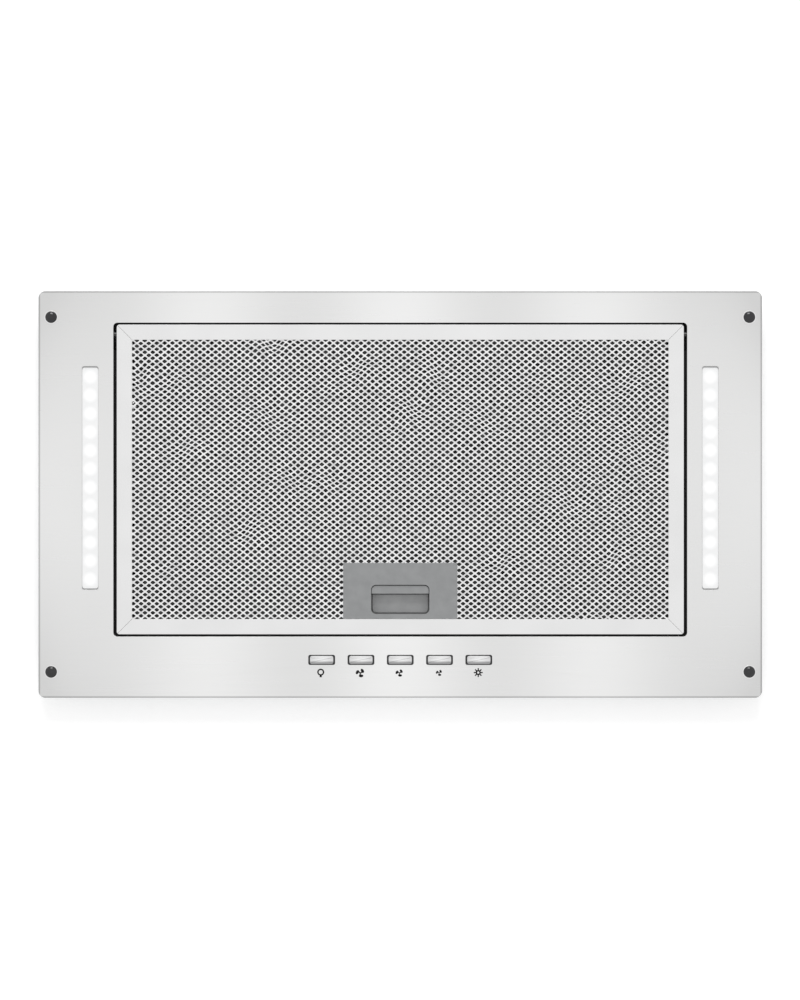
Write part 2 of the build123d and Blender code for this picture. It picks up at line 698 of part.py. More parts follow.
# ---------------------------------------------------------------- lamps
lamp_box_w, lamp_box_l, lamp_box_h = 22.0, 174.0, 15.0
flange_w, flange_l, flange_h = 17.6, 168.0, 1.4
lens_face = face_z + 0.5
lamp_wall, lamp_channel_w, lamp_channel_h = 1.5, 14.0, 5.0
led_board_w, led_board_l, led_board_thick = 10.0, 163.8, 1.2
led_w, led_h = 3.0, 0.8
board_led_z = back_z + 7.0
lamp_channel_z = back_z + 11.0
for side, sign in sides:
    place = (sign * lamp_x, lamp_cy)
    with BuildPart() as lamp_lens:
        with BuildSketch(Plane.XY.offset(lens_face)):
            with Locations(place):
                RectangleRounded(lens_w, lens_l, lens_corner)
        extrude(amount=back_z - lens_face)
        with BuildSketch(Plane.XY.offset(back_z)):
            with Locations(place):
                Rectangle(flange_w, flange_l)
        extrude(amount=flange_h)
    save(lamp_lens, f"lamp_lens_{side}")

    # twelve diodes on a strip that faces the lens
    with BuildPart() as led_board:
        with BuildSketch(Plane.XY.offset(board_led_z)):
            with Locations(place):
                Rectangle(led_board_w, led_board_l)
        extrude(amount=led_board_thick)
        with BuildSketch(Plane.XY.offset(board_led_z)):
            with Locations(place):
                with GridLocations(1, led_pitch, 1, led_count):
                    Rectangle(led_w, led_w)
        extrude(amount=-led_h)
    save(led_board, f"led_board_{side}")

    # an extruded channel over them, with rails for the board and closed ends
    with BuildPart() as lamp_housing:
        with BuildSketch(Plane.XY.offset(back_z)):
            with Locations(place):
                Rectangle(lamp_box_w, lamp_box_l)
        extrude(amount=lamp_box_h)
        with BuildSketch(Plane.XY.offset(back_z)):
            with Locations(place):
                Rectangle(lamp_box_w - 2 * lamp_wall, lamp_box_l - 2 * lamp_wall)
        extrude(amount=board_led_z + led_board_thick - back_z, mode=Mode.SUBTRACT)
        with BuildSketch(Plane.XZ.offset(-lamp_cy + lamp_box_l / 2 - lamp_wall)):
            with Locations((sign * lamp_x, lamp_channel_z)):
                Rectangle(lamp_channel_w, lamp_channel_h)
        extrude(amount=-(lamp_box_l - 2 * lamp_wall), mode=Mode.SUBTRACT)
    save(lamp_housing, f"lamp_housing_{side}")

# ---------------------------------------------------------------- push buttons
guide_x, guide_y = 5 * button_pitch + 10.0, 13.0
bank_x, bank_y, bank_break = guide_x - 6, guide_y - 1, 1.0
tail_x, tail_y, tail_h, tail_rows = 1.6, 0.8, 4.0, 6.0
switch_depth = 0.8
guide_top = back_z + 7.5
flange_play = 0.3
cap_flange_l, cap_flange_w, cap_flange_h = slot_l + 2.0, slot_w + 2.0, 1.2
stem_l, stem_w = 5.0, 3.0
stem_top = guide_top + 7.0
bank_top = stem_top + button_travel + 5.0

with BuildPart() as button_guide:
    with BuildSketch(Plane.XY.offset(back_z)):
        with Locations((0, button_y)):
            Rectangle(guide_x, guide_y)
    extrude(amount=guide_top - back_z)
    with BuildSketch(Plane.XY.offset(back_z)):
        with Locations(*button_places):
            Rectangle(cap_flange_l + 2 * fit_gap, cap_flange_w + 2 * fit_gap)
    extrude(amount=cap_flange_h + button_travel + 3 * flange_play, mode=Mode.SUBTRACT)
    with BuildSketch(Plane.XY.offset(back_z)):
        with Locations(*button_places):
            Rectangle(stem_l + 2 * fit_gap, stem_w + 2 * fit_gap)
    extrude(amount=guide_top - back_z, mode=Mode.SUBTRACT)
save(button_guide, "button_guide")

with BuildPart() as switch_bank:
    with BuildSketch(Plane.XY.offset(guide_top)):
        with Locations((0, button_y)):
            Rectangle(bank_x, bank_y)
    extrude(amount=bank_top - guide_top)
    chamfer(switch_bank.faces().sort_by(Axis.Z)[-1].edges(), bank_break)
    with BuildSketch(Plane.XY.offset(guide_top)):
        with Locations(*button_places):
            Rectangle(stem_l + 2 * fit_gap, stem_w + 2 * fit_gap)
    extrude(amount=stem_top + button_travel + switch_depth - guide_top, mode=Mode.SUBTRACT)
    # solder tails of the switches
    with BuildSketch(Plane.XY.offset(bank_top)):
        with Locations((0, button_y)):
            with GridLocations(button_pitch, tail_rows, 5, 2):
                Rectangle(tail_x, tail_y)
    extrude(amount=tail_h)
save(switch_bank, "switch_bank")

for name, x in zip(button_names, button_x):
    with BuildPart() as button:
        with BuildSketch(Plane.XY.offset(face_z - cap_proud)):
            with Locations((x, button_y)):
                RectangleRounded(cap_l, cap_w, cap_corner)
        extrude(amount=cap_proud + sheet + flange_play)
        chamfer(button.faces().sort_by(Axis.Z)[0].edges(), cap_crown)
        with BuildSketch(Plane.XY.offset(back_z + flange_play)):
            with Locations((x, button_y)):
                Rectangle(cap_flange_l, cap_flange_w)
        extrude(amount=cap_flange_h)
        with BuildSketch(Plane.XY.offset(back_z + flange_play)):
            with Locations((x, button_y)):
                Rectangle(stem_l, stem_w)
        extrude(amount=stem_top - back_z - flange_play)
    save(button, f"button_{name}")

# ---------------------------------------------------------------- grease filter cassette
# Four channel rails, mitred at the corners, hold two expanded-metal sheets and a
# corrugated core between them.
window_x, window_y = filter_x - 2 * rail_w, filter_y - 2 * rail_w

with BuildPart() as cassette_frame:
    with BuildSketch(Plane.XY.offset(face_z)):
        with Locations((0, filter_cy)):
            RectangleRounded(filter_x, filter_y, filter_corner)
            Rectangle(window_x, window_y, mode=Mode.SUBTRACT)
    extrude(amount=filter_thick)
    with BuildSketch(Plane.XY.offset(mesh_z)):
        with Locations((0, filter_cy)):
            Rectangle(filter_x - 2 * rail_wall, filter_y - 2 * rail_wall)
    extrude(amount=filter_thick - 2 * rail_wall, mode=Mode.SUBTRACT)
    with BuildSketch(Plane.YZ):
        with Locations((hinge_y, hinge_z)):
            Circle(pin_r)
    extrude(amount=filter_x, both=True, mode=Mode.SUBTRACT)

far_x, far_y = filter_x / 2 + 1, filter_y / 2 + 1
mid_x = far_x - far_y
seam = mitre_gap * sqrt(0.5)
long_rail = [(-far_x + seam, -far_y), (far_x - seam, -far_y), (mid_x - seam, 0), (-mid_x + seam, 0)]
short_rail = [(far_x, -far_y + seam), (far_x, far_y - seam), (mid_x + seam, 0)]
mitre_outlines = {
    "front": long_rail,
    "rear": [(-x, -y) for x, y in long_rail],
    "left": [(-x, -y) for x, y in short_rail],
    "right": short_rail,
}
for side, outline in mitre_outlines.items():
    with BuildPart() as filter_rail:
        add(cassette_frame.part)
        with BuildSketch(Plane.XY.offset(face_z - 1)):
            with Locations((0, filter_cy)):
                Polygon(*outline, align=None)
        extrude(amount=filter_thick + 2, mode=Mode.INTERSECT)
    save(filter_rail, f"filter_rail_{side}")

# The sheets' diamonds lie on two interleaved grids, several times the real pitch, and stop
# short of the latch.
strand = 3.2
front_cell, rear_cell = (36.4, 28.3), (60.0, 46.6)
sheet_x, sheet_y = filter_x - 2 * rail_wall - 5.0, filter_y - 2 * rail_wall - 0.4
core_clear_x, core_clear_y0, core_clear_y1 = 54.0, filter_front + 1.4, latch_rear + 1.0
tray_clear_x, tray_clear_y0, tray_clear_y1 = 45.4, pocket_front - 1.5, -57.0


def diamond_places(cell_x, cell_y, keep_x, keep_y0, keep_y1):
    """Centres of the diamonds that are clear of the rails and of the latch."""
    places = []
    rows, columns = int(window_y / cell_y) + 1, int(window_x / cell_x / 2) + 1
    for row in range(-rows, rows + 1):
        y = filter_cy + row * cell_y / 2
        shift = (row % 2) * cell_x / 2
        for column in range(-columns, columns + 1):
            x = column * cell_x + shift
            in_window = abs(x) < (window_x - cell_x) / 2 + strand
            in_window = in_window and abs(y - filter_cy) < (window_y - cell_y) / 2 + strand
            on_latch = abs(x) < (keep_x + cell_x) / 2 and keep_y0 < y + cell_y / 2
            on_latch = on_latch and y - cell_y / 2 < keep_y1
            if in_window and not on_latch:
                places.append((x, y))
    return places


expanded_sheets = [
    ("front", mesh_z, *front_cell, (tray_clear_x, tray_clear_y0, tray_clear_y1)),
    ("rear", mesh_top_z, *rear_cell, (core_clear_x, core_clear_y0, core_clear_y1)),
]
for side, z, cell_x, cell_y, keep in expanded_sheets:
    half_x, half_y = cell_x / 2 - strand, cell_y / 2 - strand * cell_y / cell_x
    with BuildPart() as filter_mesh:
        with BuildSketch(Plane.XY.offset(z)):
            with Locations((0, filter_cy)):
                Rectangle(sheet_x, sheet_y)
            with Locations((0, (keep[1] + keep[2]) / 2)):
                Rectangle(keep[0], keep[2] - keep[1], mode=Mode.SUBTRACT)
            with Locations(*diamond_places(cell_x, cell_y, *keep)):
                Polygon((-half_x, 0), (0, -half_y), (half_x, 0), (0, half_y), mode=Mode.SUBTRACT)
        extrude(amount=mesh_thick)
    save(filter_mesh, f"filter_mesh_{side}")

core_low, core_high = mesh_z + mesh_thick, mesh_top_z
core_pitch, core_wall = 13.0, 0.5
core_folds = int((filter_x - 2 * rail_w) / core_pitch)
with BuildPart() as filter_core:
    crest = []
    for i in range(2 * core_folds + 1):
        x = (i - core_folds) * core_pitch / 2
        crest.append((x, core_high if i % 2 else core_low + core_wall))
    trough = [(x, z - core_wall) for x, z in reversed(crest)]
    with BuildSketch(Plane.XZ.offset(-filter_cy + window_y / 2)):
        with BuildLine():
            Polyline(*crest, *trough, close=True)
        make_face()
    extrude(amount=-window_y)
    with BuildSketch(Plane.XY.offset(core_low)):
        with Locations((0, (core_clear_y0 + core_clear_y1) / 2)):
            Rectangle(core_clear_x, core_clear_y1 - core_clear_y0)
    extrude(amount=core_high - core_low, mode=Mode.SUBTRACT)
save(filter_core, "filter_core")

pin_head_w, pin_head_h = 1.0, 1.6
ear_w, ear_h, ear_thick = 15.0, 9.0, 2.0
ear_foot_w, ear_foot_thick = 10.0, 0.8
for side, sign in sides:
    # a headed pin in the side rail turns in a bracket that is welded to the panel
    with BuildPart() as hinge_pin:
        with BuildSketch(Plane.YZ.offset(sign * (filter_x / 2 - rail_wall))):
            with Locations((hinge_y, hinge_z)):
                Circle(pin_r + pin_head_w)
        extrude(amount=-sign * pin_head_h)
        with BuildSketch(Plane.YZ.offset(sign * (filter_x / 2 - rail_wall))):
            with Locations((hinge_y, hinge_z)):
                Circle(pin_r)
        extrude(amount=sign * (pin_end_x - filter_x / 2 + rail_wall))
    save(hinge_pin, f"hinge_pin_{side}")

    ear_x = sign * (opening_x / 2 + sheet + fit_gap)
    with BuildPart() as hinge_bracket:
        with BuildSketch(Plane.YZ.offset(ear_x)):
            with Locations((hinge_y, back_z)):
                Rectangle(ear_w, ear_h, align=(Align.CENTER, Align.MIN))
            with Locations((hinge_y, hinge_z)):
                Circle(pin_r + run_gap, mode=Mode.SUBTRACT)
        extrude(amount=sign * ear_thick)
        with BuildSketch(Plane.XY.offset(back_z)):
            with Locations((ear_x + sign * ear_foot_w / 2, hinge_y)):
                Rectangle(ear_foot_w, ear_w)
        extrude(amount=ear_foot_thick)
    save(hinge_bracket, f"hinge_bracket_{side}")

# ---------------------------------------------------------------- filter latch
tray_rear = -57.5
tab_play = 0.7              # between the tab and the pocket's rear edge
tab_side = 0.4              # and on each side of it
slider_front = -92.0
tray_flange_rear, tray_flange_front = latch_rear - 2 * fit_gap, latch_front + 0.4
cover_x = core_clear_x - 2 * fit_gap
with BuildPart() as latch_plate:
    with BuildSketch(Plane.XY.offset(face_z)):
        with Locations((0, (latch_rear + latch_front) / 2)):
            Rectangle(latch_x, latch_rear - latch_front)
        with Locations((0, (pocket_rear + pocket_front) / 2)):
            RectangleRounded(pocket_x, pocket_rear - pocket_front, pocket_corner, mode=Mode.SUBTRACT)
    extrude(amount=rail_wall)
save(latch_plate, "latch_plate")

with BuildPart() as latch_tray:
    with BuildSketch(Plane.XY.offset(mesh_z)):
        with Locations((0, (tray_rear + pocket_front - sheet) / 2)):
            RectangleRounded(pocket_x + 2 * sheet, tray_rear - pocket_front + sheet, pocket_corner + sheet)
    extrude(amount=pocket_top + sheet - mesh_z)
    with BuildSketch(Plane.XY.offset(mesh_z)):
        with Locations((0, (tray_rear - sheet + pocket_front) / 2)):
            RectangleRounded(pocket_x, tray_rear - sheet - pocket_front, pocket_corner)
    extrude(amount=pocket_top - mesh_z, mode=Mode.SUBTRACT)
    # the floor stops where the tab comes through
    tab_slot_front = pocket_rear - tab_play - tab_deep - sheet
    with BuildSketch(Plane.XY.offset(pocket_top)):
        with Locations((0, (tray_rear - sheet + tab_slot_front) / 2)):
            Rectangle(pocket_x, tray_rear - sheet - tab_slot_front)
    extrude(amount=sheet, mode=Mode.SUBTRACT)
    # a flange lies on the rear sheet and carries the cover
    with BuildSketch(Plane.XY.offset(cassette_top - rail_wall)):
        with Locations((0, (tray_flange_rear + tray_flange_front) / 2)):
            Rectangle(cover_x, tray_flange_rear - tray_flange_front)
        with Locations((0, (tray_rear + pocket_front - sheet) / 2)):
            Rectangle(pocket_x + sheet, tray_rear - pocket_front, mode=Mode.SUBTRACT)
    extrude(amount=rail_wall)
save(latch_tray, "latch_tray")

tab_rear = pocket_rear - tab_play
slider_rear = -58.0
tongue_tip = opening_cy - opening_y / 2 + tongue_short
slider_x, tongue_x = 40.0, 24.0
with BuildPart() as latch_slider:
    with BuildSketch(Plane.XY.offset(mesh_z + fit_gap)) as tab_outline:
        with Locations((0, tab_rear - tab_deep / 2)):
            Rectangle(pocket_x - 2 * tab_side, tab_deep)
        fillet(tab_outline.vertices().group_by(Axis.Y)[-1], pocket_corner - tab_side)
    extrude(amount=slider_z - mesh_z - fit_gap)
    with BuildSketch(Plane.XY.offset(slider_z)):
        with Locations((0, (slider_rear + slider_front) / 2)):
            Rectangle(slider_x, slider_rear - slider_front)
        with Locations((0, (slider_rear + tongue_tip) / 2)):
            Rectangle(tongue_x, slider_rear - tongue_tip)
    extrude(amount=sheet)
save(latch_slider, "latch_slider")

cover_rear, cover_front = tray_flange_rear, filter_front + 2 * sheet
with BuildPart() as latch_cover:
    with BuildSketch(Plane.XY.offset(cassette_top)):
        with Locations((0, (cover_rear + cover_front) / 2)):
            Rectangle(cover_x, cover_rear - cover_front)
    extrude(amount=cover_top - cassette_top)
    with BuildSketch(Plane.XY.offset(cassette_top)):
        with Locations((0, (cover_rear + cover_front) / 2)):
            Rectangle(cover_x - 2 * sheet, cover_rear - cover_front - 2 * sheet)
    extrude(amount=cover_top - sheet - cassette_top, mode=Mode.SUBTRACT)
    with BuildSketch(Plane.XY.offset(cassette_top)):
        with Locations((0, cover_front)):
            Rectangle(tongue_x + 1.0, 4 * sheet)
    extrude(amount=cover_top - sheet - cassette_top, mode=Mode.SUBTRACT)
save(latch_cover, "latch_cover")

# A bowed leaf pushes the slider forwards.
leaf_half, leaf_bow, leaf_thick = 15.0, 5.0, 0.5
leaf_y = cover_rear - sheet - leaf_thick
with BuildPart() as latch_spring:
    with BuildSketch(Plane.XY.offset(slider_z)):
        with BuildLine():
            ThreePointArc((-leaf_half, leaf_y), (0, leaf_y - leaf_bow), (leaf_half, leaf_y))
            Line((leaf_half, leaf_y), (leaf_half, leaf_y + leaf_thick))
            ThreePointArc(
                (leaf_half, leaf_y + leaf_thick),
                (0, leaf_y - leaf_bow + leaf_thick),
                (-leaf_half, leaf_y + leaf_thick),
            )
            Line((-leaf_half, leaf_y + leaf_thick), (-leaf_half, leaf_y))
        make_face()
    extrude(amount=sheet)
save(latch_spring, "latch_spring")
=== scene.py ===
"""Range hood insert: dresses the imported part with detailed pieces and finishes."""

import json
from math import ceil, cos, exp, pi, radians, sin
from random import Random
from typing import NamedTuple

import bmesh
import bpy
from mathutils import Euler, Matrix, Vector


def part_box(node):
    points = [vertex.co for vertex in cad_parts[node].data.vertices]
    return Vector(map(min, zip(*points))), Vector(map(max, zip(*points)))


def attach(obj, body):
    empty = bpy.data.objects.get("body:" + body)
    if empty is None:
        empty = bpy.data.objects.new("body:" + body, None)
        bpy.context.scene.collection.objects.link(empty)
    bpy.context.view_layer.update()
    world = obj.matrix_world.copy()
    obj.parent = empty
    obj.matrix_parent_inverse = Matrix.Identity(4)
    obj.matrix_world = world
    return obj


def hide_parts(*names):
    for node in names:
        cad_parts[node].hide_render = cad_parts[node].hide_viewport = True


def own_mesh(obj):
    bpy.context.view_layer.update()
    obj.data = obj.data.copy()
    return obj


bl_info = {
    "name": "Range hood insert",
    "version": (1, 0, 0),
    "blender": (4, 5, 0),
    "location": "View3D > Sidebar > Hood",
    "description": "Detailed pieces and finishes for a range hood insert",
    "category": "Object",
}

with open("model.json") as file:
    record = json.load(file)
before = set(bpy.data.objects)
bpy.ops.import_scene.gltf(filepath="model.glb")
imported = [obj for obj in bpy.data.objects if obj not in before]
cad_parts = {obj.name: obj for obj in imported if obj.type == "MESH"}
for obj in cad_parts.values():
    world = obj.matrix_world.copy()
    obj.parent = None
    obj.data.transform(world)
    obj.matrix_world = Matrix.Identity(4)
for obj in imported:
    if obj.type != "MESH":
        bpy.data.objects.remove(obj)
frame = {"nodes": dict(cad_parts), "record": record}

MM = 0.001
UP = Vector((0, 0, 1))
EVEN = (1, 1, 1)
SLOT_OF = {part["node"]: part["material_slot"] for part in frame["record"]["subparts"]}
BUTTONS = ("brightness", "fan_low", "fan_medium", "fan_high", "light")

# places of the solids that new pieces are set against; the face looks down, so FACE_Z is its lowest
FACE_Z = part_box("face_panel")[0][2]
MESH_LOW, MESH_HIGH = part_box("filter_mesh_front")
REAR_LOW, REAR_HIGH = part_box("filter_mesh_rear")
RAIL_MIDDLE_Y = (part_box("filter_rail_front")[0][1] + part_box("filter_rail_rear")[1][1]) / 2
OPENING_LOW, OPENING_HIGH = (-208.2 * MM, -103.1 * MM), (208.2 * MM, 124.7 * MM)

# sizes that both a shape and its finish need, or that a pattern repeats at
DIODE_PITCH = 13.35 * MM
BUTTON_PITCH = 28.5 * MM
LAMP_HALF_WIDTH, LAMP_HALF_LENGTH = 6.0 * MM, 81.15 * MM
# width of the soft stripes of painted reflection on the face panel
REFLECTION_BAND_WIDTH = 145 * MM
EDGE_SHADE = 1.5 * MM

# how rounding and smooth shading tell an edge from a curved wall
WELD = 0.01 * MM
ROUNDED_ABOVE = radians(40)
SMOOTH_BELOW = radians(38)

# how an expanded sheet strays from its grid: each swirl turns, pinches and lifts it round one place
SWIRLS = 60
SWIRL_REACH = (7, 15)
SWIRL_END = 2.5
SWIRL_TURN, SWIRL_PINCH, SWIRL_LIFT = 1.2, 2.0, 0.1
CORNER_SHARE = 0.46

# the stage
FLOOR_Z, BACKDROP_Z, STAGE_HALF = -0.245, 0.016, 12
STAGE_TONE, STAGE_GLOW, WORLD_LEVEL = 0.8, 0.35, 0.82


# ---------------------------------------------------------------- what a user would change
class HoodFilterSizes(bpy.types.PropertyGroup):
    """Sizes of the grease filter's expanded metal"""

    pitch_x: bpy.props.FloatProperty(
        name="Diamond length",
        description="Distance between diamonds from left to right",
        default=5.7 * MM,
        subtype="DISTANCE",
        unit="LENGTH",
    )
    pitch_y: bpy.props.FloatProperty(
        name="Diamond height",
        description="Distance between diamonds from front to rear",
        default=4.4 * MM,
        subtype="DISTANCE",
        unit="LENGTH",
    )
    strand: bpy.props.FloatProperty(
        name="Strand",
        description="Width of the metal between two diamonds",
        default=0.99 * MM,
        subtype="DISTANCE",
        unit="LENGTH",
    )
    swirl: bpy.props.FloatProperty(
        name="Swirl",
        description="How far the stretched sheet strays from a regular grid",
        default=1.5 * MM,
        subtype="DISTANCE",
        unit="LENGTH",
    )


class HoodLooks(bpy.types.PropertyGroup):
    """Colours and light levels"""

    steel: bpy.props.FloatVectorProperty(
        name="Steel",
        description="Colour of the brushed stainless face",
        default=(0.726, 0.726, 0.723),
        size=3,
        subtype="COLOR",
    )
    ink: bpy.props.FloatVectorProperty(
        name="Ink",
        description="Colour of the printed symbols",
        default=(0.005, 0.005, 0.005),
        size=3,
        subtype="COLOR",
    )
    glow: bpy.props.FloatProperty(
        name="Lamp glow",
        description="Strength of the light that the lenses show",
        default=0.55,
        min=0.0,
    )
    edge: bpy.props.FloatProperty(
        name="Edge rounding",
        description="Width of the small rounding on folded and cut edges",
        default=0.25 * MM,
        subtype="DISTANCE",
        unit="LENGTH",
    )


# ---------------------------------------------------------------- finishes
class Finish:
    """A procedural material: one shader, and the patterns that feed it."""

    def __init__(self, name, roughness, metallic=0.0, **constants):
        self.material = bpy.data.materials.new(name)
        self.material.use_nodes = True
        self.tree = self.material.node_tree
        self.shader = self.tree.nodes["Principled BSDF"]
        self.shader.inputs["Roughness"].default_value = roughness
        self.shader.inputs["Metallic"].default_value = metallic
        for socket, value in constants.items():
            self.shader.inputs[socket.replace("_", " ")].default_value = value
        self.coordinates = self.node("ShaderNodeTexCoord").outputs["Object"]
        self.normal = None

    def feed(self, socket, value):
        """Sets a socket to a constant, or links another socket to it."""
        if isinstance(value, bpy.types.NodeSocket):
            self.tree.links.new(value, socket)
        else:
            socket.default_value = value

    def node(self, kind, **values):
        """Adds a node; each value is one of its settings, or feeds one of its sockets."""
        node = self.tree.nodes.new(kind)
        for name, value in values.items():
            if hasattr(node, name):
                setattr(node, name, value)
            else:
                self.feed(node.inputs[name.replace("_", " ")], value)
        return node

    def math(self, operation, *values):
        node = self.node("ShaderNodeMath", operation=operation)
        for socket, value in zip(node.inputs, values):
            self.feed(socket, value)
        return node.outputs[0]

    def axes(self):
        """X, Y and Z of the place that is shaded."""
        return self.node("ShaderNodeSeparateXYZ", Vector=self.coordinates).outputs

    def stretched(self, stretch):
        mapping = self.node("ShaderNodeMapping", Vector=self.coordinates, Scale=stretch)
        return mapping.outputs["Vector"]

    def noise(self, scale, stretch=EVEN, detail=3.0):
        place = self.stretched(stretch)
        texture = self.node("ShaderNodeTexNoise", Vector=place, Scale=scale, Detail=detail)
        return texture.outputs["Fac"]

    def grains(self, scale, stretch=EVEN):
        texture = self.node("ShaderNodeTexVoronoi", Vector=self.stretched(stretch), Scale=scale)
        return texture.outputs["Color"]

    def blend(self, factor, low, high, start=0.3, end=0.7):
        ramp = self.node("ShaderNodeValToRGB", Fac=factor)
        for stop, position, colour in zip(ramp.color_ramp.elements, (start, end), (low, high)):
            stop.position = position
            stop.color = (*colour, 1.0)
        return ramp.outputs["Color"]

    def colour(self, *blend):
        self.feed(self.shader.inputs["Base Color"], self.blend(*blend))
        return self

    def polish(self, factor, low, high):
        spread = self.node(
            "ShaderNodeMapRange", Value=factor, From_Min=0.3, From_Max=0.7, To_Min=low, To_Max=high
        )
        self.feed(self.shader.inputs["Roughness"], spread.outputs["Result"])
        return self

    def relief(self, factor, depth, strength=1.0):
        bump = self.node("ShaderNodeBump", Height=factor, Distance=depth, Strength=strength)
        if self.normal:
            self.feed(bump.inputs["Normal"], self.normal)
        self.normal = bump.outputs["Normal"]
        self.feed(self.shader.inputs["Normal"], self.normal)
        return self


def brushed_stainless():
    """Fine brushing lines along X; across them soft stripes of painted reflection that fade
    outwards, painted shade towards the corners and a painted dark line at the outer edge.
    """
    tone = bpy.context.scene.hood_looks.steel
    reach_x, reach_y = 0.25, 0.14
    reflection_band_share, middle_share, corner_shade_share = 0.27, 0.67, -0.6
    line_share, cloud_share = 0.16, 0.2
    finish = Finish("brushed_stainless", 0.3, 1.0)
    math, place = finish.math, finish.axes()
    lines = finish.noise(24, (1, 160, 40), 5)
    clouds = finish.noise(7, EVEN, 2)
    # painted reflection: soft stripes of lamp light across the face, fading outwards
    reflection_bands = math("COSINE", math("MULTIPLY", place["X"], 2 * pi / REFLECTION_BAND_WIDTH))
    outward = math("DIVIDE", math("ABSOLUTE", place["X"]), reach_x)
    fading = math("SUBTRACT", 1.0, math("POWER", outward, 3.0))
    share = math("MULTIPLY_ADD", math("MULTIPLY", reflection_bands, fading), reflection_band_share, middle_share)
    # painted shade towards the four corners of the face
    forward = math("POWER", math("DIVIDE", math("ABSOLUTE", place["Y"]), reach_y), 2.0)
    corner = math("MULTIPLY", math("POWER", outward, 6.0), forward)
    share = math("MULTIPLY_ADD", corner, corner_shade_share, share)
    share = math("MULTIPLY_ADD", lines, line_share, share)
    share = math("MULTIPLY_ADD", clouds, cloud_share, math("SUBTRACT", share, line_share))
    # brushing lines and random clouds, together with the painted reflection stripes and the painted
    # corner shade
    brushed = finish.blend(share, [0.84 * c for c in tone], [1.1 * c for c in tone], 0.0, 1.0)
    # painted shade: a dark line along the face's outer edge
    shade = finish.blend(panel_edge(finish, place), (1.0, 1.0, 1.0), (0.36, 0.36, 0.36), 0.0, 1.0)
    colour_with_painted_shade = finish.node("ShaderNodeVectorMath", operation="MULTIPLY")
    finish.feed(colour_with_painted_shade.inputs[0], brushed)
    finish.feed(colour_with_painted_shade.inputs[1], shade)
    finish.feed(finish.shader.inputs["Base Color"], colour_with_painted_shade.outputs[0])
    finish.polish(finish.noise(9, (1, 60, 10), 3), 0.27, 0.35)
    return finish.relief(lines, 0.006 * MM, 0.5).relief(finish.noise(4), 0.3 * MM, 0.2).material


def panel_edge(finish, place):
    """How near the front's outer edge a place is, as the mask of the painted edge shade: 1 at the
    edge, 0 from EDGE_SHADE inwards.
    """
    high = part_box("face_panel")[1]
    beyond = [
        finish.math("SUBTRACT", finish.math("ABSOLUTE", place[axis]), extent - EDGE_SHADE)
        for axis, extent in (("X", high[0]), ("Y", high[1]))
    ]
    edge = finish.math("DIVIDE", finish.math("MAXIMUM", *beyond), EDGE_SHADE)
    front = finish.math("LESS_THAN", place["Z"], FACE_Z + 0.4 * MM)
    return finish.math("MULTIPLY", edge, front)


def galvanised():
    """Zinc spangle, each grain with its own tone and polish."""
    finish = Finish("galvanised", 0.4, 1.0)
    finish.colour(finish.grains(125), (0.41, 0.426, 0.443), (0.541, 0.558, 0.574), 0.1, 0.9)
    finish.polish(finish.grains(130), 0.3, 0.52)
    return finish.relief(finish.noise(300), 0.03 * MM, 0.4).material


def expanded_aluminium(
    name="filter_mesh_aluminium", dark=(0.607, 0.607, 0.611), light=(0.82, 0.82, 0.82)
):
    """Bright stretched metal with uneven facets."""
    finish = Finish(name, 0.35, 1.0)
    finish.colour(finish.noise(260), dark, light, 0.3, 0.62)
    finish.polish(finish.noise(420), 0.28, 0.5)
    return finish.relief(finish.noise(700), 0.05 * MM, 0.6).material


def aluminium_in_painted_shade():
    """The same metal, darkened as painted shade for the layers that lie behind the front sheet."""
    return expanded_aluminium("filter_aluminium_painted_shade", (0.01, 0.01, 0.01), (0.057, 0.057, 0.057))


def rail_aluminium():
    """Pale, nearly even metal with a faint mottle."""
    finish = Finish("filter_rail_aluminium", 0.38, 1.0)
    finish.colour(finish.noise(30, EVEN, 5), (0.722, 0.722, 0.722), (0.754, 0.754, 0.754))
    finish.polish(finish.noise(22), 0.34, 0.44)
    return finish.relief(finish.noise(900), 0.02 * MM, 0.4).material


def frosted_lens():
    """A pale lens with a soft round spot of light over each diode."""
    low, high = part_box("lamp_lens_left")
    middle_x, middle_y = abs(low[0] + high[0]) / 2, (low[1] + high[1]) / 2
    spot_tone, between_tone = (1.0, 1.0, 1.0), (0.62, 0.62, 0.62)
    spot_start, spot_end = 0.08, 0.44
    finish = Finish("frosted_lens", 0.5, 0.0, IOR=1.49)
    math, place = finish.math, finish.axes()
    steps = math("FRACT", math("DIVIDE", math("SUBTRACT", place["Y"], middle_y), DIODE_PITCH))
    along = math("MULTIPLY", math("SUBTRACT", steps, 0.5), DIODE_PITCH)
    across = math("SUBTRACT", math("ABSOLUTE", place["X"]), middle_x)
    squares = math("ADD", math("MULTIPLY", along, along), math("MULTIPLY", across, across))
    share = math("DIVIDE", math("SQRT", squares), DIODE_PITCH)
    spots = finish.blend(share, spot_tone, between_tone, spot_start, spot_end)
    finish.colour(finish.noise(60), (0.5, 0.505, 0.51), (0.53, 0.53, 0.53))
    finish.feed(finish.shader.inputs["Emission Color"], spots)
    finish.feed(finish.shader.inputs["Emission Strength"], bpy.context.scene.hood_looks.glow)
    return finish.relief(finish.noise(900), 0.05 * MM, 0.5).material


def lamp_edging_painted_light():
    """Grey edging round a lamp: pale with painted light beside the lit strip, and darker at its two
    ends.
    """
    low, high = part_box("lamp_lens_left")
    ragged, turns_at, turned_at = 0.003, 0.955, 0.985
    finish = Finish("lamp_edging_painted_light", 0.6)
    math, place = finish.math, finish.axes()
    along = math("ABSOLUTE", math("SUBTRACT", place["Y"], (low[1] + high[1]) / 2))
    frayed = math("MULTIPLY", finish.noise(900), ragged)
    share = math("SUBTRACT", math("DIVIDE", along, LAMP_HALF_LENGTH), frayed)
    # painted light from the lit strip: pale along the sides, darker at the two ends
    finish.colour(share, (0.66, 0.66, 0.66), (0.3, 0.3, 0.3), turns_at, turned_at)
    return finish.relief(finish.noise(900), 0.02 * MM, 0.4).material


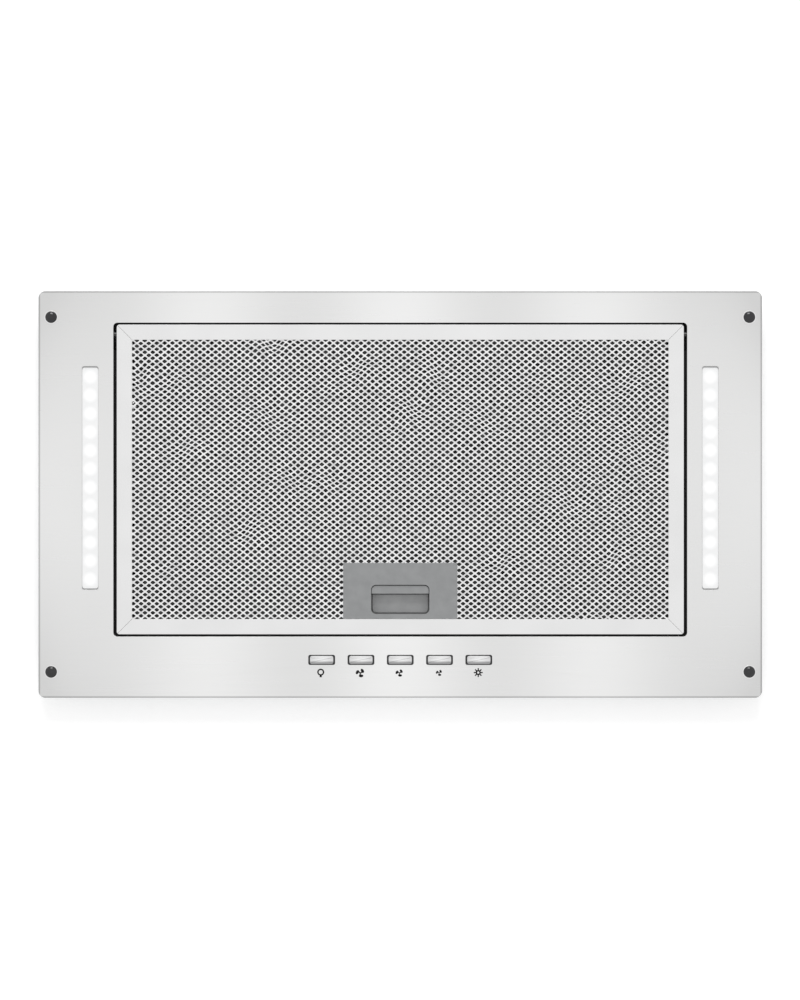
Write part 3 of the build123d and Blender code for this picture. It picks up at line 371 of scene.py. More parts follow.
def cap_painted_highlight():
    """Bright metal with a painted highlight, palest at the crown of each cap, and painted shade at
    its lower side.
    """
    low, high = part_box("button_fan_medium")
    half_length, half_width = 9.5 * MM, 3.6 * MM
    highlight_falloff, shade_from, shade_share, uneven = 0.45, -0.15, 1.7, 0.03
    finish = Finish("cap_painted_highlight", 0.36, 1.0)
    math, place = finish.math, finish.axes()
    steps = math("FRACT", math("ADD", math("DIVIDE", place["X"], BUTTON_PITCH), 0.5))
    along = math("MULTIPLY", math("SUBTRACT", steps, 0.5), BUTTON_PITCH)
    along = math("DIVIDE", along, half_length)
    across = math("SUBTRACT", place["Y"], (low[1] + high[1]) / 2)
    across = math("DIVIDE", across, half_width)
    squares = math("ADD", math("MULTIPLY", along, along), math("MULTIPLY", across, across))
    # painted highlight: palest at the middle of the cap, darker away from it
    crown = math("MULTIPLY", math("SQRT", squares), highlight_falloff)
    # painted shade along the cap's lower side
    lower = math("MAXIMUM", math("SUBTRACT", shade_from, across), 0.0)
    lower = math("MULTIPLY", lower, shade_share)
    mottle = math("MULTIPLY", finish.noise(300), uneven)
    share = math("ADD", math("ADD", crown, lower), mottle)
    finish.colour(share, (0.82, 0.82, 0.82), (0.344, 0.344, 0.348), 0.1, 1.2)
    return finish.relief(finish.noise(60), 0.002 * MM, 0.3).material


def printed_ink():
    """Matt ink, slightly uneven."""
    tone = bpy.context.scene.hood_looks.ink
    finish = Finish("printed_ink", 0.6, Specular_IOR_Level=0.15)
    finish.colour(finish.noise(900), tone, [2.2 * c for c in tone])
    return finish.relief(finish.noise(1500), 0.01 * MM, 0.4).material


def circuit_board():
    """Green lacquer over tracks."""
    finish = Finish("circuit_board", 0.4)
    tracks = finish.grains(260, (1, 2, 1))
    finish.colour(tracks, (0.02, 0.1, 0.05), (0.05, 0.2, 0.09), 0.3, 0.6)
    return finish.relief(tracks, 0.04 * MM, 0.5).material


class Plain(NamedTuple):
    """A plain finish: two tones and two levels of polish in one even or stretched grain."""

    dark: tuple
    light: tuple
    smooth: float
    rough: float
    metallic: float
    scale: float
    depth: float
    stretch: tuple = EVEN


PLAIN_FINISHES = {
    "black_screw": Plain(
        (0.008, 0.008, 0.009), (0.02, 0.02, 0.022), 0.06, 0.12, 0.0, 300, 0.01 * MM
    ),
    "bright_zinc": Plain(
        (0.492, 0.508, 0.541), (0.64, 0.648, 0.672), 0.22, 0.36, 1.0, 220, 0.02 * MM
    ),
    "grey_plastic": Plain(
        (0.2, 0.205, 0.21), (0.25, 0.255, 0.26), 0.42, 0.56, 0.0, 700, 0.05 * MM
    ),
    "black_plastic": Plain(
        (0.012, 0.012, 0.013), (0.025, 0.025, 0.027), 0.38, 0.52, 0.0, 800, 0.04 * MM
    ),
    "rubber": Plain((0.015, 0.015, 0.015), (0.03, 0.03, 0.03), 0.7, 0.85, 0.0, 900, 0.05 * MM),
    "motor_casting": Plain(
        (0.344, 0.353, 0.361), (0.459, 0.467, 0.476), 0.45, 0.62, 1.0, 500, 0.12 * MM
    ),
    "white_plastic": Plain(
        (0.78, 0.78, 0.77), (0.86, 0.86, 0.85), 0.36, 0.48, 0.0, 700, 0.03 * MM
    ),
    "anodised_channel": Plain(
        (0.451, 0.459, 0.467), (0.541, 0.549, 0.558), 0.34, 0.44, 1.0, 60, 0.02 * MM, (60, 1, 20)
    ),
    "satin_grey": Plain(
        (0.245, 0.25, 0.253), (0.28, 0.285, 0.288), 0.4, 0.5, 0.15, 900, 0.02 * MM
    ),
    # painted shade for the walls of the finger pocket
    "pocket_wall_painted_shade": Plain((0.07, 0.07, 0.07), (0.09, 0.09, 0.09), 0.5, 0.6, 0.0, 900, 0.02 * MM),
    # a paler copy of satin_grey: painted light on the finger pocket's tray
    "pocket_tray_painted_light": Plain(
        (0.325, 0.33, 0.333), (0.37, 0.375, 0.377), 0.4, 0.5, 0.15, 900, 0.02 * MM
    ),
    "washer_steel": Plain(
        (0.738, 0.738, 0.738), (0.795, 0.795, 0.795), 0.25, 0.33, 1.0, 400, 0.005 * MM
    ),
    "spring_steel": Plain(
        (0.328, 0.328, 0.344), (0.476, 0.476, 0.492), 0.25, 0.36, 1.0, 400, 0.02 * MM, (1, 30, 1)
    ),
    "chrome_button": Plain(
        (0.656, 0.656, 0.664), (0.722, 0.722, 0.722), 0.2, 0.28, 1.0, 260, 0.01 * MM, (1, 6, 1)
    ),
}
SPECIAL_FINISHES = {
    "brushed_stainless": brushed_stainless,
    "galvanised": galvanised,
    "circuit_board": circuit_board,
    "frosted_lens": frosted_lens,
    "filter_rail_aluminium": rail_aluminium,
    "filter_mesh_aluminium": expanded_aluminium,
    "filter_aluminium_painted_shade": aluminium_in_painted_shade,
    "printed_ink": printed_ink,
    "cap_painted_highlight": cap_painted_highlight,
    "lamp_edging_painted_light": lamp_edging_painted_light,
}
made = {}


def plain_finish(name):
    """A finish from the table: broad tones, finer polish and finest relief, in one grain."""
    plain = PLAIN_FINISHES[name]
    finish = Finish(name, plain.smooth, plain.metallic)
    finish.colour(finish.noise(plain.scale / 6, plain.stretch, 4), plain.dark, plain.light)
    finish.polish(finish.noise(plain.scale / 3, plain.stretch), plain.smooth, plain.rough)
    return finish.relief(finish.noise(plain.scale, plain.stretch), plain.depth, 0.6).material


def finish_of(name):
    """The material for a finish, made on its first use."""
    if name not in made:
        special = SPECIAL_FINISHES.get(name)
        material = special() if special else plain_finish(name)
        made[name] = material.name
    return bpy.data.materials[made[name]]


def dress(*nodes, edge=None, finish=None):
    """Gives CAD nodes their slot's finish or a named one, and a small rounding on their edges."""
    for node in nodes:
        piece = frame["nodes"][node]
        for place in piece.material_slots:
            place.material = finish_of(finish or SLOT_OF[node])
        if edge:
            piece.modifiers.new("Weld", "WELD").merge_threshold = WELD
            rounding = piece.modifiers.new("Bevel", "BEVEL")
            rounding.limit_method = "ANGLE"
            rounding.angle_limit = ROUNDED_ABOVE
            rounding.width = edge
            rounding.segments = 2


# ---------------------------------------------------------------- shaping
def add_piece(name, shape, body, slot, finish=None, stands_for=()):
    """Makes a finished shape a piece that rides on a body."""
    bmesh.ops.recalc_face_normals(shape, faces=shape.faces)
    for face in shape.faces:
        face.smooth = True
    for edge in shape.edges:
        edge.smooth = len(edge.link_faces) == 2 and edge.calc_face_angle(0.0) < SMOOTH_BELOW
    mesh = bpy.data.meshes.new(name)
    shape.to_mesh(mesh)
    shape.free()
    mesh.materials.append(finish_of(finish or slot))
    piece = bpy.data.objects.new(name, mesh)
    bpy.context.scene.collection.objects.link(piece)
    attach(piece, body)
    if stands_for:
        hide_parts(*stands_for)
    return piece


def middle_of(node):
    """X and Y of the middle of a CAD node."""
    low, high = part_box(node)
    return (low[0] + high[0]) / 2, (low[1] + high[1]) / 2


def heading(degrees, distance):
    """A level step, by its direction and its length."""
    return Vector((cos(radians(degrees)), sin(radians(degrees)), 0)) * distance


def around(x, y, half_x, half_y, low, high):
    """The two opposite corners of a box round an upright line."""
    return (x - half_x, y - half_y, low), (x + half_x, y + half_y, high)


def bevel(shape, geometry, width, affect="EDGES", segments=4):
    return bmesh.ops.bevel(
        shape,
        geom=list(geometry),
        offset=width,
        segments=segments,
        profile=0.5,
        affect=affect,
        material=-1,
    )


def block(shape, low, high, corner=0.0, rim=0.0, rim_z=None, corners_behind=None):
    """A block with rounded upright edges, or those behind a place, and a rounded rim at rim_z."""
    low, high = Vector(low), Vector(high)
    place = Matrix.Translation((low + high) / 2) @ Matrix.Diagonal((*(high - low), 1))
    vertices = bmesh.ops.create_cube(shape, size=1, matrix=place)["verts"]
    edges = {edge for vertex in vertices for edge in vertex.link_edges}
    faces = {face for vertex in vertices for face in vertex.link_faces}
    if corner:
        upright = [e for e in edges if abs((e.verts[0].co - e.verts[1].co).normalized().z) > 0.9]
        if corners_behind is not None:
            upright = [edge for edge in upright if edge.verts[0].co.y > corners_behind]
        faces = faces.union(bevel(shape, upright, corner)["faces"])
    if rim:
        flat = [f for f in faces if f.is_valid and all(abs(v.co.z - rim_z) < 1e-6 for v in f.verts)]
        bevel(shape, {edge for face in flat for edge in face.edges}, rim)


def spun(shape, outline, centre, axis=UP, steps=40):
    """A turned shape: outline holds (radius, height along the axis), from pole to pole."""
    across = axis.orthogonal().normalized()
    vertices = [shape.verts.new(Vector(centre) + across * r + axis * h) for r, h in outline]
    profile = vertices + [shape.edges.new(pair) for pair in zip(vertices, vertices[1:])]
    bmesh.ops.spin(
        shape, geom=profile, cent=centre, axis=axis, angle=2 * pi, steps=steps, use_merge=True
    )


def flat_disc(shape, x, y, radius_x, radius_y, turn, low, high):
    """An upright oval plate between two heights."""
    place = Matrix.Translation((x, y, low)) @ Matrix.Rotation(turn, 4, "Z")
    place = place @ Matrix.Diagonal((radius_x, radius_y, 1, 1))
    rim = bmesh.ops.create_circle(shape, cap_ends=True, segments=20, radius=1.0, matrix=place)
    face = rim["verts"][0].link_faces[0]
    top = bmesh.ops.extrude_face_region(shape, geom=[face])["geom"]
    raised = [part for part in top if isinstance(part, bmesh.types.BMVert)]
    bmesh.ops.translate(shape, verts=raised, vec=(0, 0, high - low))


def flat_bar(shape, centre, size, turn):
    """A small block turned about its upright axis."""
    place = Matrix.Translation(centre) @ Matrix.Rotation(turn, 4, "Z")
    bmesh.ops.create_cube(shape, size=1, matrix=place @ Matrix.Diagonal((*size, 1)))


def flat_ring(shape, x, y, inner, outer, low, high):
    """An upright ring between two heights."""
    spun(shape, [(inner, low), (outer, low), (outer, high), (inner, high), (inner, low)], (x, y, 0))


def cut_away(shape, point, direction):
    """Removes what lies beyond a plane and returns the edges left open there."""
    everything = shape.verts[:] + shape.edges[:] + shape.faces[:]
    cut = bmesh.ops.bisect_plane(
        shape, geom=everything, plane_co=point, plane_no=direction, clear_outer=True
    )
    return [part for part in cut["geom_cut"] if isinstance(part, bmesh.types.BMEdge)]


def rounded_frame(shape, x, y, half_x, half_y, corner, side_width, end_width, low, high):
    """A flat frame with rounded corners, wider at its two ends than along its sides."""
    before = set(shape.faces)
    block(shape, *around(x, y, half_x, half_y, low, high), corner)
    middle, quarter = (low + high) / 2, (high - low) / 4
    new = [face for face in shape.faces if face not in before]
    caps = [face for face in new if abs(face.calc_center_median().z - middle) > quarter]
    for cap in caps:
        bmesh.ops.inset_region(shape, faces=[cap], thickness=side_width, use_even_offset=True)
    shorter = (half_y - end_width) / (half_y - side_width)
    inside = {vertex for cap in caps for vertex in cap.verts}
    centre = Matrix.Translation((-x, -y, 0))
    bmesh.ops.scale(shape, verts=list(inside), vec=(1, shorter, 1), space=centre)
    rims = [edge for cap in caps for edge in cap.edges]
    bmesh.ops.delete(shape, geom=caps, context="FACES_ONLY")
    bmesh.ops.bridge_loops(shape, edges=rims)


def diamond_sheet(low, high, pitch, strand, thick, keep_clear, swirl, seed, rounded=True):
    """Expanded metal: diamonds on two interleaved grids, cut from one sheet and stretched."""
    shape = bmesh.new()
    middle = (Vector(low) + Vector(high)) / 2
    size = Vector(high) - Vector(low)
    count = ceil(size.x / pitch[0] + size.y / pitch[1]) + 2
    bmesh.ops.create_grid(shape, x_segments=count, y_segments=count, size=count / 2)
    bmesh.ops.rotate(shape, verts=shape.verts, matrix=Matrix.Rotation(pi / 4, 3, "Z"))
    bmesh.ops.scale(shape, verts=shape.verts, vec=(pitch[0] * 0.5**0.5, pitch[1] * 0.5**0.5, 1))
    bmesh.ops.translate(shape, verts=shape.verts, vec=(middle.x, middle.y, low[2]))
    clear_x0, clear_y0, clear_x1, clear_y1 = keep_clear
    outside = []
    for face in shape.faces:
        x, y, _ = face.calc_center_median()
        beyond_x = abs(x - middle.x) > (size.x - pitch[0]) / 2
        beyond_y = abs(y - middle.y) > (size.y - pitch[1]) / 2
        if beyond_x or beyond_y or (clear_x0 < x < clear_x1 and clear_y0 < y < clear_y1):
            outside.append(face)
    bmesh.ops.delete(shape, geom=outside, context="FACES")
    holes = list(shape.faces)
    for face in holes:
        face.material_index = 1
    strands = bmesh.ops.inset_individual(
        shape, faces=holes, thickness=strand / 2, use_even_offset=True
    )
    for face in strands["faces"]:
        face.material_index = 0
    if rounded:
        corners = {vertex for face in holes for vertex in face.verts}
        bevel(shape, corners, strand * CORNER_SHARE, "VERTICES", 1)
    gaps = [face for face in shape.faces if face.material_index]
    bmesh.ops.delete(shape, geom=gaps, context="FACES")
    stray(shape, low, high, pitch, swirl, Random(seed))
    bmesh.ops.recalc_face_normals(shape, faces=shape.faces)
    bmesh.ops.solidify(shape, geom=list(shape.faces), thickness=thick)
    return shape


def stray(shape, low, high, pitch, swirl, chance):
    """Turns, pinches and lifts a flat sheet round places that chance picks."""
    swirls = []
    for _ in range(SWIRLS):
        centre = Vector((chance.uniform(low[0], high[0]), chance.uniform(low[1], high[1]), 0))
        swirls.append((centre, chance.uniform(*SWIRL_REACH) * MM, chance.uniform(-1, 1) * swirl))
    for vertex in shape.verts:
        shift = Vector((0, 0, 0))
        for centre, reach, amount in swirls:
            away = Vector((vertex.co.x, vertex.co.y, 0)) - centre
            distance = away.length / reach
            if distance < SWIRL_END:
                fade = exp(-distance * distance)
                shift += UP.cross(away) / reach * amount * fade * SWIRL_TURN
                across = -pitch[0] if amount > 0 else pitch[0]
                pinch = Vector((pitch[1], across, 0)).normalized()
                shift -= pinch * pinch.dot(away) / reach * abs(amount) * fade * SWIRL_PINCH
                shift.z += abs(amount) * SWIRL_LIFT * fade
        vertex.co += shift


# ---------------------------------------------------------------- operators
class HOOD_OT_panel(bpy.types.Operator):
    """Brushes the face panel"""

    bl_idname = "hood.panel"
    bl_label = "Face panel"

    def execute(self, context):
        dress("face_panel", edge=context.scene.hood_looks.edge)
        return {"FINISHED"}


def draw_bulb(shape, x, y, low, high):
    flat_ring(shape, x, y, 1.5 * MM, 2.55 * MM, low, high)
    block(shape, (x - 0.8 * MM, y - 3.7 * MM, low), (x + 0.8 * MM, y - 2.0 * MM, high))


def draw_fan(shape, x, y, across, low, high):
    """Three oval blades, each with a short root that leans a little further round."""
    place = Vector((x, y, (low + high) / 2))
    root_size = (0.3 * across, 0.13 * across, high - low)
    for turn in (135, 15, 255):
        blade, lean = place + heading(turn, 0.33 * across), radians(turn + 14)
        flat_disc(shape, blade.x, blade.y, 0.16 * across, 0.25 * across, lean, low, high)
        root = place + heading(turn + 24, 0.15 * across)
        flat_bar(shape, root, root_size, radians(turn + 24))


def draw_sun(shape, x, y, low, high):
    flat_ring(shape, x, y, 0.8 * MM, 1.85 * MM, low, high)
    place = Vector((x, y, (low + high) / 2))
    for turn in range(0, 360, 45):
        ray = place + heading(turn, 2.4 * MM)
        flat_bar(shape, ray, (1.7 * MM, 0.9 * MM, high - low), radians(turn))


class HOOD_OT_symbols(bpy.types.Operator):
    """Prints the five symbols in front of the buttons"""

    bl_idname = "hood.symbols"
    bl_label = "Printed symbols"

    def execute(self, context):
        shape = bmesh.new()
        low, high = FACE_Z - 0.06 * MM, FACE_Z + 0.02 * MM
        draw_bulb(shape, 57.7 * MM, -128.9 * MM, low, high)
        draw_fan(shape, 29.0 * MM, -129.5 * MM, 6.6 * MM, low, high)
        draw_fan(shape, 0.6 * MM, -129.5 * MM, 5.6 * MM, low, high)
        draw_fan(shape, -28.2 * MM, -129.4 * MM, 4.7 * MM, low, high)
        draw_sun(shape, -56.6 * MM, -129.2 * MM, low, high)
        add_piece("symbols", shape, "housing", "black_screw", "printed_ink")
        return {"FINISHED"}


class HOOD_OT_screws(bpy.types.Operator):
    """Turns the domed corner screws and their cup washers"""

    bl_idname = "hood.screws"
    bl_label = "Corner screws"

    def execute(self, context):
        low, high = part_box("fixing_screws")
        inset = 0.01 * MM
        place_x, place_y = 253.3 * MM, 128.7 * MM
        head, neck, shank = 4.3 * MM, 2.15 * MM, 2.0 * MM
        seat, dome_height, dome_steps = FACE_Z - 0.4 * MM, 2.352 * MM, 8
        root, crest = shank * 0.93, shank * 0.99
        thread_from, thread_pitch, thread_turns = 1.5 * MM, 0.7 * MM, 14
        dome = [
            (head * sin(t), seat - dome_height * cos(t))
            for t in [pi / 2 * step / dome_steps for step in range(dome_steps + 1)]
        ]
        dome[0] = (0.0, low[2] + inset)
        thread = []
        for turn in range(thread_turns):
            z = thread_from + turn * thread_pitch
            thread += [(root, z), (crest, z + thread_pitch / 2)]
        outline = dome + [(neck, seat), (neck, 0.0), (root, 0.0)] + thread
        outline.append((0.0, high[2] - inset))
        cup = [(2.65, 0.0), (4.9, 0.0), (4.9, -0.3), (4.8, -0.4), (2.65, -0.4), (2.65, 0.0)]
        cup = [(radius * MM, FACE_Z + z * MM) for radius, z in cup]
        screws, washers = bmesh.new(), bmesh.new()
        for x in (-place_x, place_x):
            for y in (-place_y, place_y):
                spun(screws, outline, (x, y, 0))
                spun(washers, cup, (x, y, 0))
        for shape in (screws, washers):
            bmesh.ops.remove_doubles(shape, verts=shape.verts, dist=0.002 * MM)
        add_piece("corner_screws", screws, "housing", "black_screw", stands_for=["fixing_screws"])
        add_piece(
            "cup_washers",
            washers,
            "housing",
            "bright_zinc",
            "washer_steel",
            stands_for=["screw_washers"],
        )
        return {"FINISHED"}


class HOOD_OT_seal(bpy.types.Operator):
    """Lines the filter opening with a thin dark rubber seal, painted shade that darkens the gap
    round the filter.
    """

    bl_idname = "hood.seal"
    bl_label = "Filter seal"

    def execute(self, context):
        shape = bmesh.new()
        thin, lip, low_top, high_top = 0.3 * MM, 3.0 * MM, 6.95 * MM, 11.0 * MM
        bottom, gap_front = FACE_Z + 0.1 * MM, 105.0 * MM
        block(shape, (*OPENING_LOW, bottom), (*OPENING_HIGH, low_top), 3.0 * MM)
        level = [face for face in shape.faces if abs(face.normal.z) > 0.9]
        lower, upper = sorted(level, key=lambda face: face.calc_center_median().z)
        bmesh.ops.inset_region(shape, faces=[upper], thickness=lip, use_even_offset=True)
        bmesh.ops.delete(shape, geom=[lower, upper], context="FACES")
        cut_away(shape, (0, gap_front, 0), (0, 1, 0))
        bmesh.ops.solidify(shape, geom=shape.faces[:], thickness=thin)
        # along the rear, by the hinge, the seal is made of separate, higher strips; they and the
        # lips above the gap are dark as painted shade
        rear_x, rear_y = 205.0 * MM, OPENING_HIGH[1]
        out_x, in_x, lip_y = 209.9 * MM, 203.9 * MM, rear_y - 2.2 * MM
        top = high_top - thin
        block(shape, (-rear_x, rear_y - 0.15 * MM, bottom), (rear_x, rear_y + 0.05 * MM, low_top))
        block(
            shape,
            (-rear_x, rear_y + 0.1 * MM, low_top),
            (rear_x, rear_y + 0.9 * MM, high_top - thin / 2),
        )
        block(shape, (-out_x, lip_y, top), (out_x, rear_y + 1.3 * MM, high_top))
        for low_x, high_x in ((-out_x, -in_x), (in_x, out_x)):
            block(shape, (low_x, gap_front - 1.0 * MM, top), (high_x, lip_y, high_top))
        add_piece("filter_seal", shape, "housing", "rubber")
        return {"FINISHED"}


class HOOD_OT_filter_frame(bpy.types.Operator):
    """Finishes the four mitred rails and the hinge pins"""

    bl_idname = "hood.filter_frame"
    bl_label = "Filter rails"

    def execute(self, context):
        rails = [f"filter_rail_{side}" for side in ("front", "rear", "left", "right")]
        dress(*rails, edge=0.3 * MM)
        dress("hinge_pin_left", "hinge_pin_right", finish="black_screw")
        dress("hinge_bracket_left", "hinge_bracket_right")
        seams = bmesh.new()
        length, middle_x, middle_y = 15.4 * MM, 200.2 * MM, 106.85 * MM
        for x, y in ((-1, -1), (1, -1), (-1, 1), (1, 1)):
            place = Vector((x * middle_x, RAIL_MIDDLE_Y + y * middle_y, FACE_Z + 0.3 * MM))
            flat_bar(seams, place, (length, 0.16 * MM, 0.6 * MM), x * y * pi / 4)
        add_piece("mitre_seams", seams, "filter", "rubber")
        return {"FINISHED"}


class HOOD_OT_filter_mesh(bpy.types.Operator):
    """Stretches the expanded sheets of the grease filter"""

    bl_idname = "hood.filter_mesh"
    bl_label = "Expanded metal"

    def execute(self, context):
        self.front(context.scene.hood_filter)
        self.layers(context.scene.hood_filter)
        self.rear(context.scene.hood_filter)
        return {"FINISHED"}

    def front(self, sizes):
        """The sheet that shows, in two halves, open round the latch plate."""
        clear = (-24 * MM, -90 * MM, 24 * MM, -55.5 * MM)
        middle = (MESH_LOW[0] + MESH_HIGH[0]) / 2
        whole = diamond_sheet(
            MESH_LOW,
            MESH_HIGH,
            (sizes.pitch_x, sizes.pitch_y),
            sizes.strand,
            0.8 * MM,
            clear,
            sizes.swirl,
            seed=11,
        )
        halves = (("left", MESH_LOW[0], middle), ("right", middle, MESH_HIGH[0]))
        for side, low_x, high_x in halves:
            half = whole.copy()
            other = [f for f in half.faces if not low_x <= f.calc_center_median().x < high_x]
            bmesh.ops.delete(half, geom=other, context="FACES")
            add_piece(
                f"filter_sheet_{side}",
                half,
                "filter",
                "filter_mesh_aluminium",
                stands_for=["filter_mesh_front"],
            )
        whole.free()

    def layers(self, sizes):
        """Two coarser layers, dark with painted shade, that show through the front sheet's
        diamonds.
        """
        clear = (-27 * MM, -101 * MM, 27 * MM, -53.8 * MM)
        depth = REAR_LOW[2] - MESH_HIGH[2]
        margin = 6 * MM
        for name, share, coarse, seed in (("outer", 0.35, 1.35, 5), ("inner", 0.7, 1.5, 6)):
            z = MESH_HIGH[2] + share * depth
            layer = diamond_sheet(
                Vector((MESH_LOW[0] + margin, MESH_LOW[1] + margin, z)),
                Vector((MESH_HIGH[0] - margin, MESH_HIGH[1] - margin, z)),
                (sizes.pitch_x * coarse, sizes.pitch_y * coarse),
                3.9 * MM,
                0.4 * MM,
                clear,
                2 * sizes.swirl,
                seed,
                rounded=False,
            )
            add_piece(
                f"filter_layer_{name}",
                layer,
                "filter",
                "filter_mesh_aluminium",
                "filter_aluminium_painted_shade",
                stands_for=["filter_core"],
            )

    def rear(self, sizes):
        """The sheet that faces the blower."""
        sheet = diamond_sheet(
            REAR_LOW,
            REAR_HIGH,
            (sizes.pitch_x * 2, sizes.pitch_y * 2),
            1.6 * MM,
            0.9 * MM,
            (-29 * MM, -103 * MM, 29 * MM, -52.5 * MM),
            sizes.swirl,
            seed=8,
        )
        add_piece(
            "filter_sheet_rear",
            sheet,
            "filter",
            "filter_mesh_aluminium",
            stands_for=["filter_mesh_rear"],
        )


class HOOD_OT_latch(bpy.types.Operator):
    """Finishes the latch plate, its finger pocket, the leaf spring and the sliding tab"""

    bl_idname = "hood.latch"
    bl_label = "Filter latch"

    def execute(self, context):
        dress("latch_plate", edge=0.25 * MM)
        # the pocket's tray is lighter than the plate, as painted light
        dress("latch_tray", edge=0.25 * MM, finish="pocket_tray_painted_light")
        dress("latch_cover")
        tab_low, tab_high = -71.9 * MM, -66.15 * MM
        self.spring()
        self.liner(tab_low - 1.0 * MM)
        self.tab(tab_low, tab_high)
        return {"FINISHED"}

    def spring(self):
        """The CAD's leaf, merged, on a mesh of its own."""
        spring = bmesh.new()
        spring.from_mesh(frame["nodes"]["latch_spring"].data)
        bmesh.ops.remove_doubles(spring, verts=spring.verts, dist=WELD)
        leaf = add_piece(
            "leaf_spring", spring, "filter", SLOT_OF["latch_spring"], stands_for=["latch_spring"]
        )
        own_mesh(leaf)

    def liner(self, rear):
        """The drafted wall round three sides of the finger pocket, open where the tab is; its dark
        colour is painted shade.
        """
        liner = bmesh.new()
        side, front, floor, open_z = 21.1 * MM, -86.7 * MM, 5.9 * MM, -1.15 * MM
        block(liner, (-side, front, open_z), (side, -60 * MM, floor + 0.08 * MM), 3.6 * MM)
        liner.normal_update()
        mouth = min(liner.faces, key=lambda face: face.calc_center_median().z)
        bmesh.ops.inset_region(liner, faces=[mouth], thickness=0.1 * MM, use_even_offset=True)
        bmesh.ops.inset_region(
            liner, faces=[mouth], thickness=0.9 * MM, depth=open_z - floor, use_even_offset=True
        )
        open_floor = cut_away(liner, (0, 0, floor - 0.05 * MM), UP)
        bmesh.ops.bridge_loops(liner, edges=open_floor)
        open_ends = cut_away(liner, (0, rear, 0), (0, 1, 0))
        bmesh.ops.holes_fill(liner, edges=open_ends, sides=0)
        add_piece("pocket_liner", liner, "filter", "satin_grey", "pocket_wall_painted_shade")

    def tab(self, tab_low, tab_high):
        """The finger tab, and the stepped slide behind it."""
        low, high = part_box("latch_slider")
        slide_z = high[2] - 1.0 * MM
        half_tab, half_slide, half_tongue, step_y = 20.7 * MM, 20 * MM, 12 * MM, -92 * MM
        tab = bmesh.new()
        block(
            tab,
            (-half_tab, tab_low, low[2]),
            (half_tab, tab_high, slide_z),
            3.1 * MM,
            0.35 * MM,
            low[2],
            corners_behind=(tab_low + tab_high) / 2,
        )
        block(tab, (-half_slide, step_y, slide_z), (half_slide, high[1], high[2]))
        block(tab, (-half_tongue, low[1], slide_z), (half_tongue, step_y, high[2]))
        add_piece("latch_tab", tab, "latch", "satin_grey", stands_for=["latch_slider"])


class HOOD_OT_lamps(bpy.types.Operator):
    """Lights the frosted lamp strips"""

    bl_idname = "hood.lamps"
    bl_label = "Lamp strips"

    def execute(self, context):
        dress("lamp_lens_left", "lamp_lens_right")
        seals = bmesh.new()
        corner, side_width, end_width = 1.9 * MM, 0.35 * MM, 1.0 * MM
        low, high = FACE_Z + 0.12 * MM, FACE_Z + 0.5 * MM
        for lens in ("lamp_lens_left", "lamp_lens_right"):
            x, y = middle_of(lens)
            size = (LAMP_HALF_WIDTH, LAMP_HALF_LENGTH)
            rounded_frame(seals, x, y, *size, corner, side_width, end_width, low, high)
        add_piece("lamp_seals", seals, "housing", "rubber", "lamp_edging_painted_light")
        dress("lamp_housing_left", "lamp_housing_right", edge=0.4 * MM)
        dress("led_board_left", "led_board_right")
        return {"FINISHED"}


class HOOD_OT_buttons(bpy.types.Operator):
    """Moulds the five push buttons"""

    bl_idname = "hood.buttons"
    bl_label = "Push buttons"

    def execute(self, context):
        for name in BUTTONS:
            self.cap(name, f"button_{name}")
            self.carrier(name, f"button_{name}")
        dress("button_guide", "switch_bank")
        return {"FINISHED"}

    def cap(self, name, button):
        """The bright cap, with a low crown on its front."""
        x, y = middle_of(button)
        half_x, half_y, crown = 8.4 * MM, 2.9 * MM, 0.35 * MM
        front_z, back_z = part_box(button)[0][2] + crown, FACE_Z + 0.4 * MM
        cap = bmesh.new()
        corners = around(x, y, half_x, half_y, front_z, back_z)
        block(cap, *corners, 1.3 * MM, 0.7 * MM, front_z)
        cap.normal_update()
        front = min(cap.faces, key=lambda face: face.calc_center_median().z)
        bmesh.ops.inset_region(
            cap, faces=[front], thickness=1.5 * MM, depth=crown, use_even_offset=True
        )
        add_piece(
            f"cap_{name}", cap, button, "chrome_button", "cap_painted_highlight", stands_for=[button]
        )

    def carrier(self, name, button):
        """The dark carrier: a rim round the cap, a flange behind the plate and a stem."""
        x, y = middle_of(button)
        low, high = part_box(button)
        rim_z, flange, stem = FACE_Z + 0.1 * MM, FACE_Z + 1.3 * MM, FACE_Z + 2.5 * MM
        carrier = bmesh.new()
        rim = around(x, y, 9.5 * MM, 3.45 * MM, rim_z, flange)
        block(carrier, *rim, 1.3 * MM, 0.15 * MM, rim_z)
        block(carrier, (low[0], low[1], flange), (high[0], high[1], stem), 0.4 * MM)
        block(carrier, *around(x, y, 2.5 * MM, 1.5 * MM, stem, high[2]), 0.3 * MM)
        add_piece(f"carrier_{name}", carrier, button, "black_plastic")


class HOOD_OT_housing(bpy.types.Operator):
    """Finishes the housing, the collar and the damper"""

    bl_idname = "hood.housing"
    bl_label = "Housing and collar"

    def execute(self, context):
        dress("housing_wrap", "housing_end_left", "housing_end_right", edge=0.4 * MM)
        dress("exhaust_collar", "collar_ring", "collar_screws", "cable_gland")
        dress("damper_axle", "damper_flap_left", "damper_flap_right")
        return {"FINISHED"}


class HOOD_OT_blower(bpy.types.Operator):
    """Finishes the blower and its motor"""

    bl_idname = "hood.blower"
    bl_label = "Blower"

    def execute(self, context):
        dress("scroll_wrap", "scroll_cheek_left", "scroll_cheek_right", "outlet_duct")
        dress("inlet_ring_left", "inlet_ring_right", "impeller_left", "impeller_right")
        dress("impeller_nut", "motor_shaft", "motor", "motor_bracket")
        dress("motor_grommets", "motor_bolts")
        return {"FINISHED"}


class HOOD_OT_electrics(bpy.types.Operator):
    """Finishes the control box and the capacitor"""

    bl_idname = "hood.electrics"
    bl_label = "Electrics"

    def execute(self, context):
        dress("control_box", "control_box_lid", edge=0.4 * MM)
        dress("control_board", "capacitor")
        return {"FINISHED"}


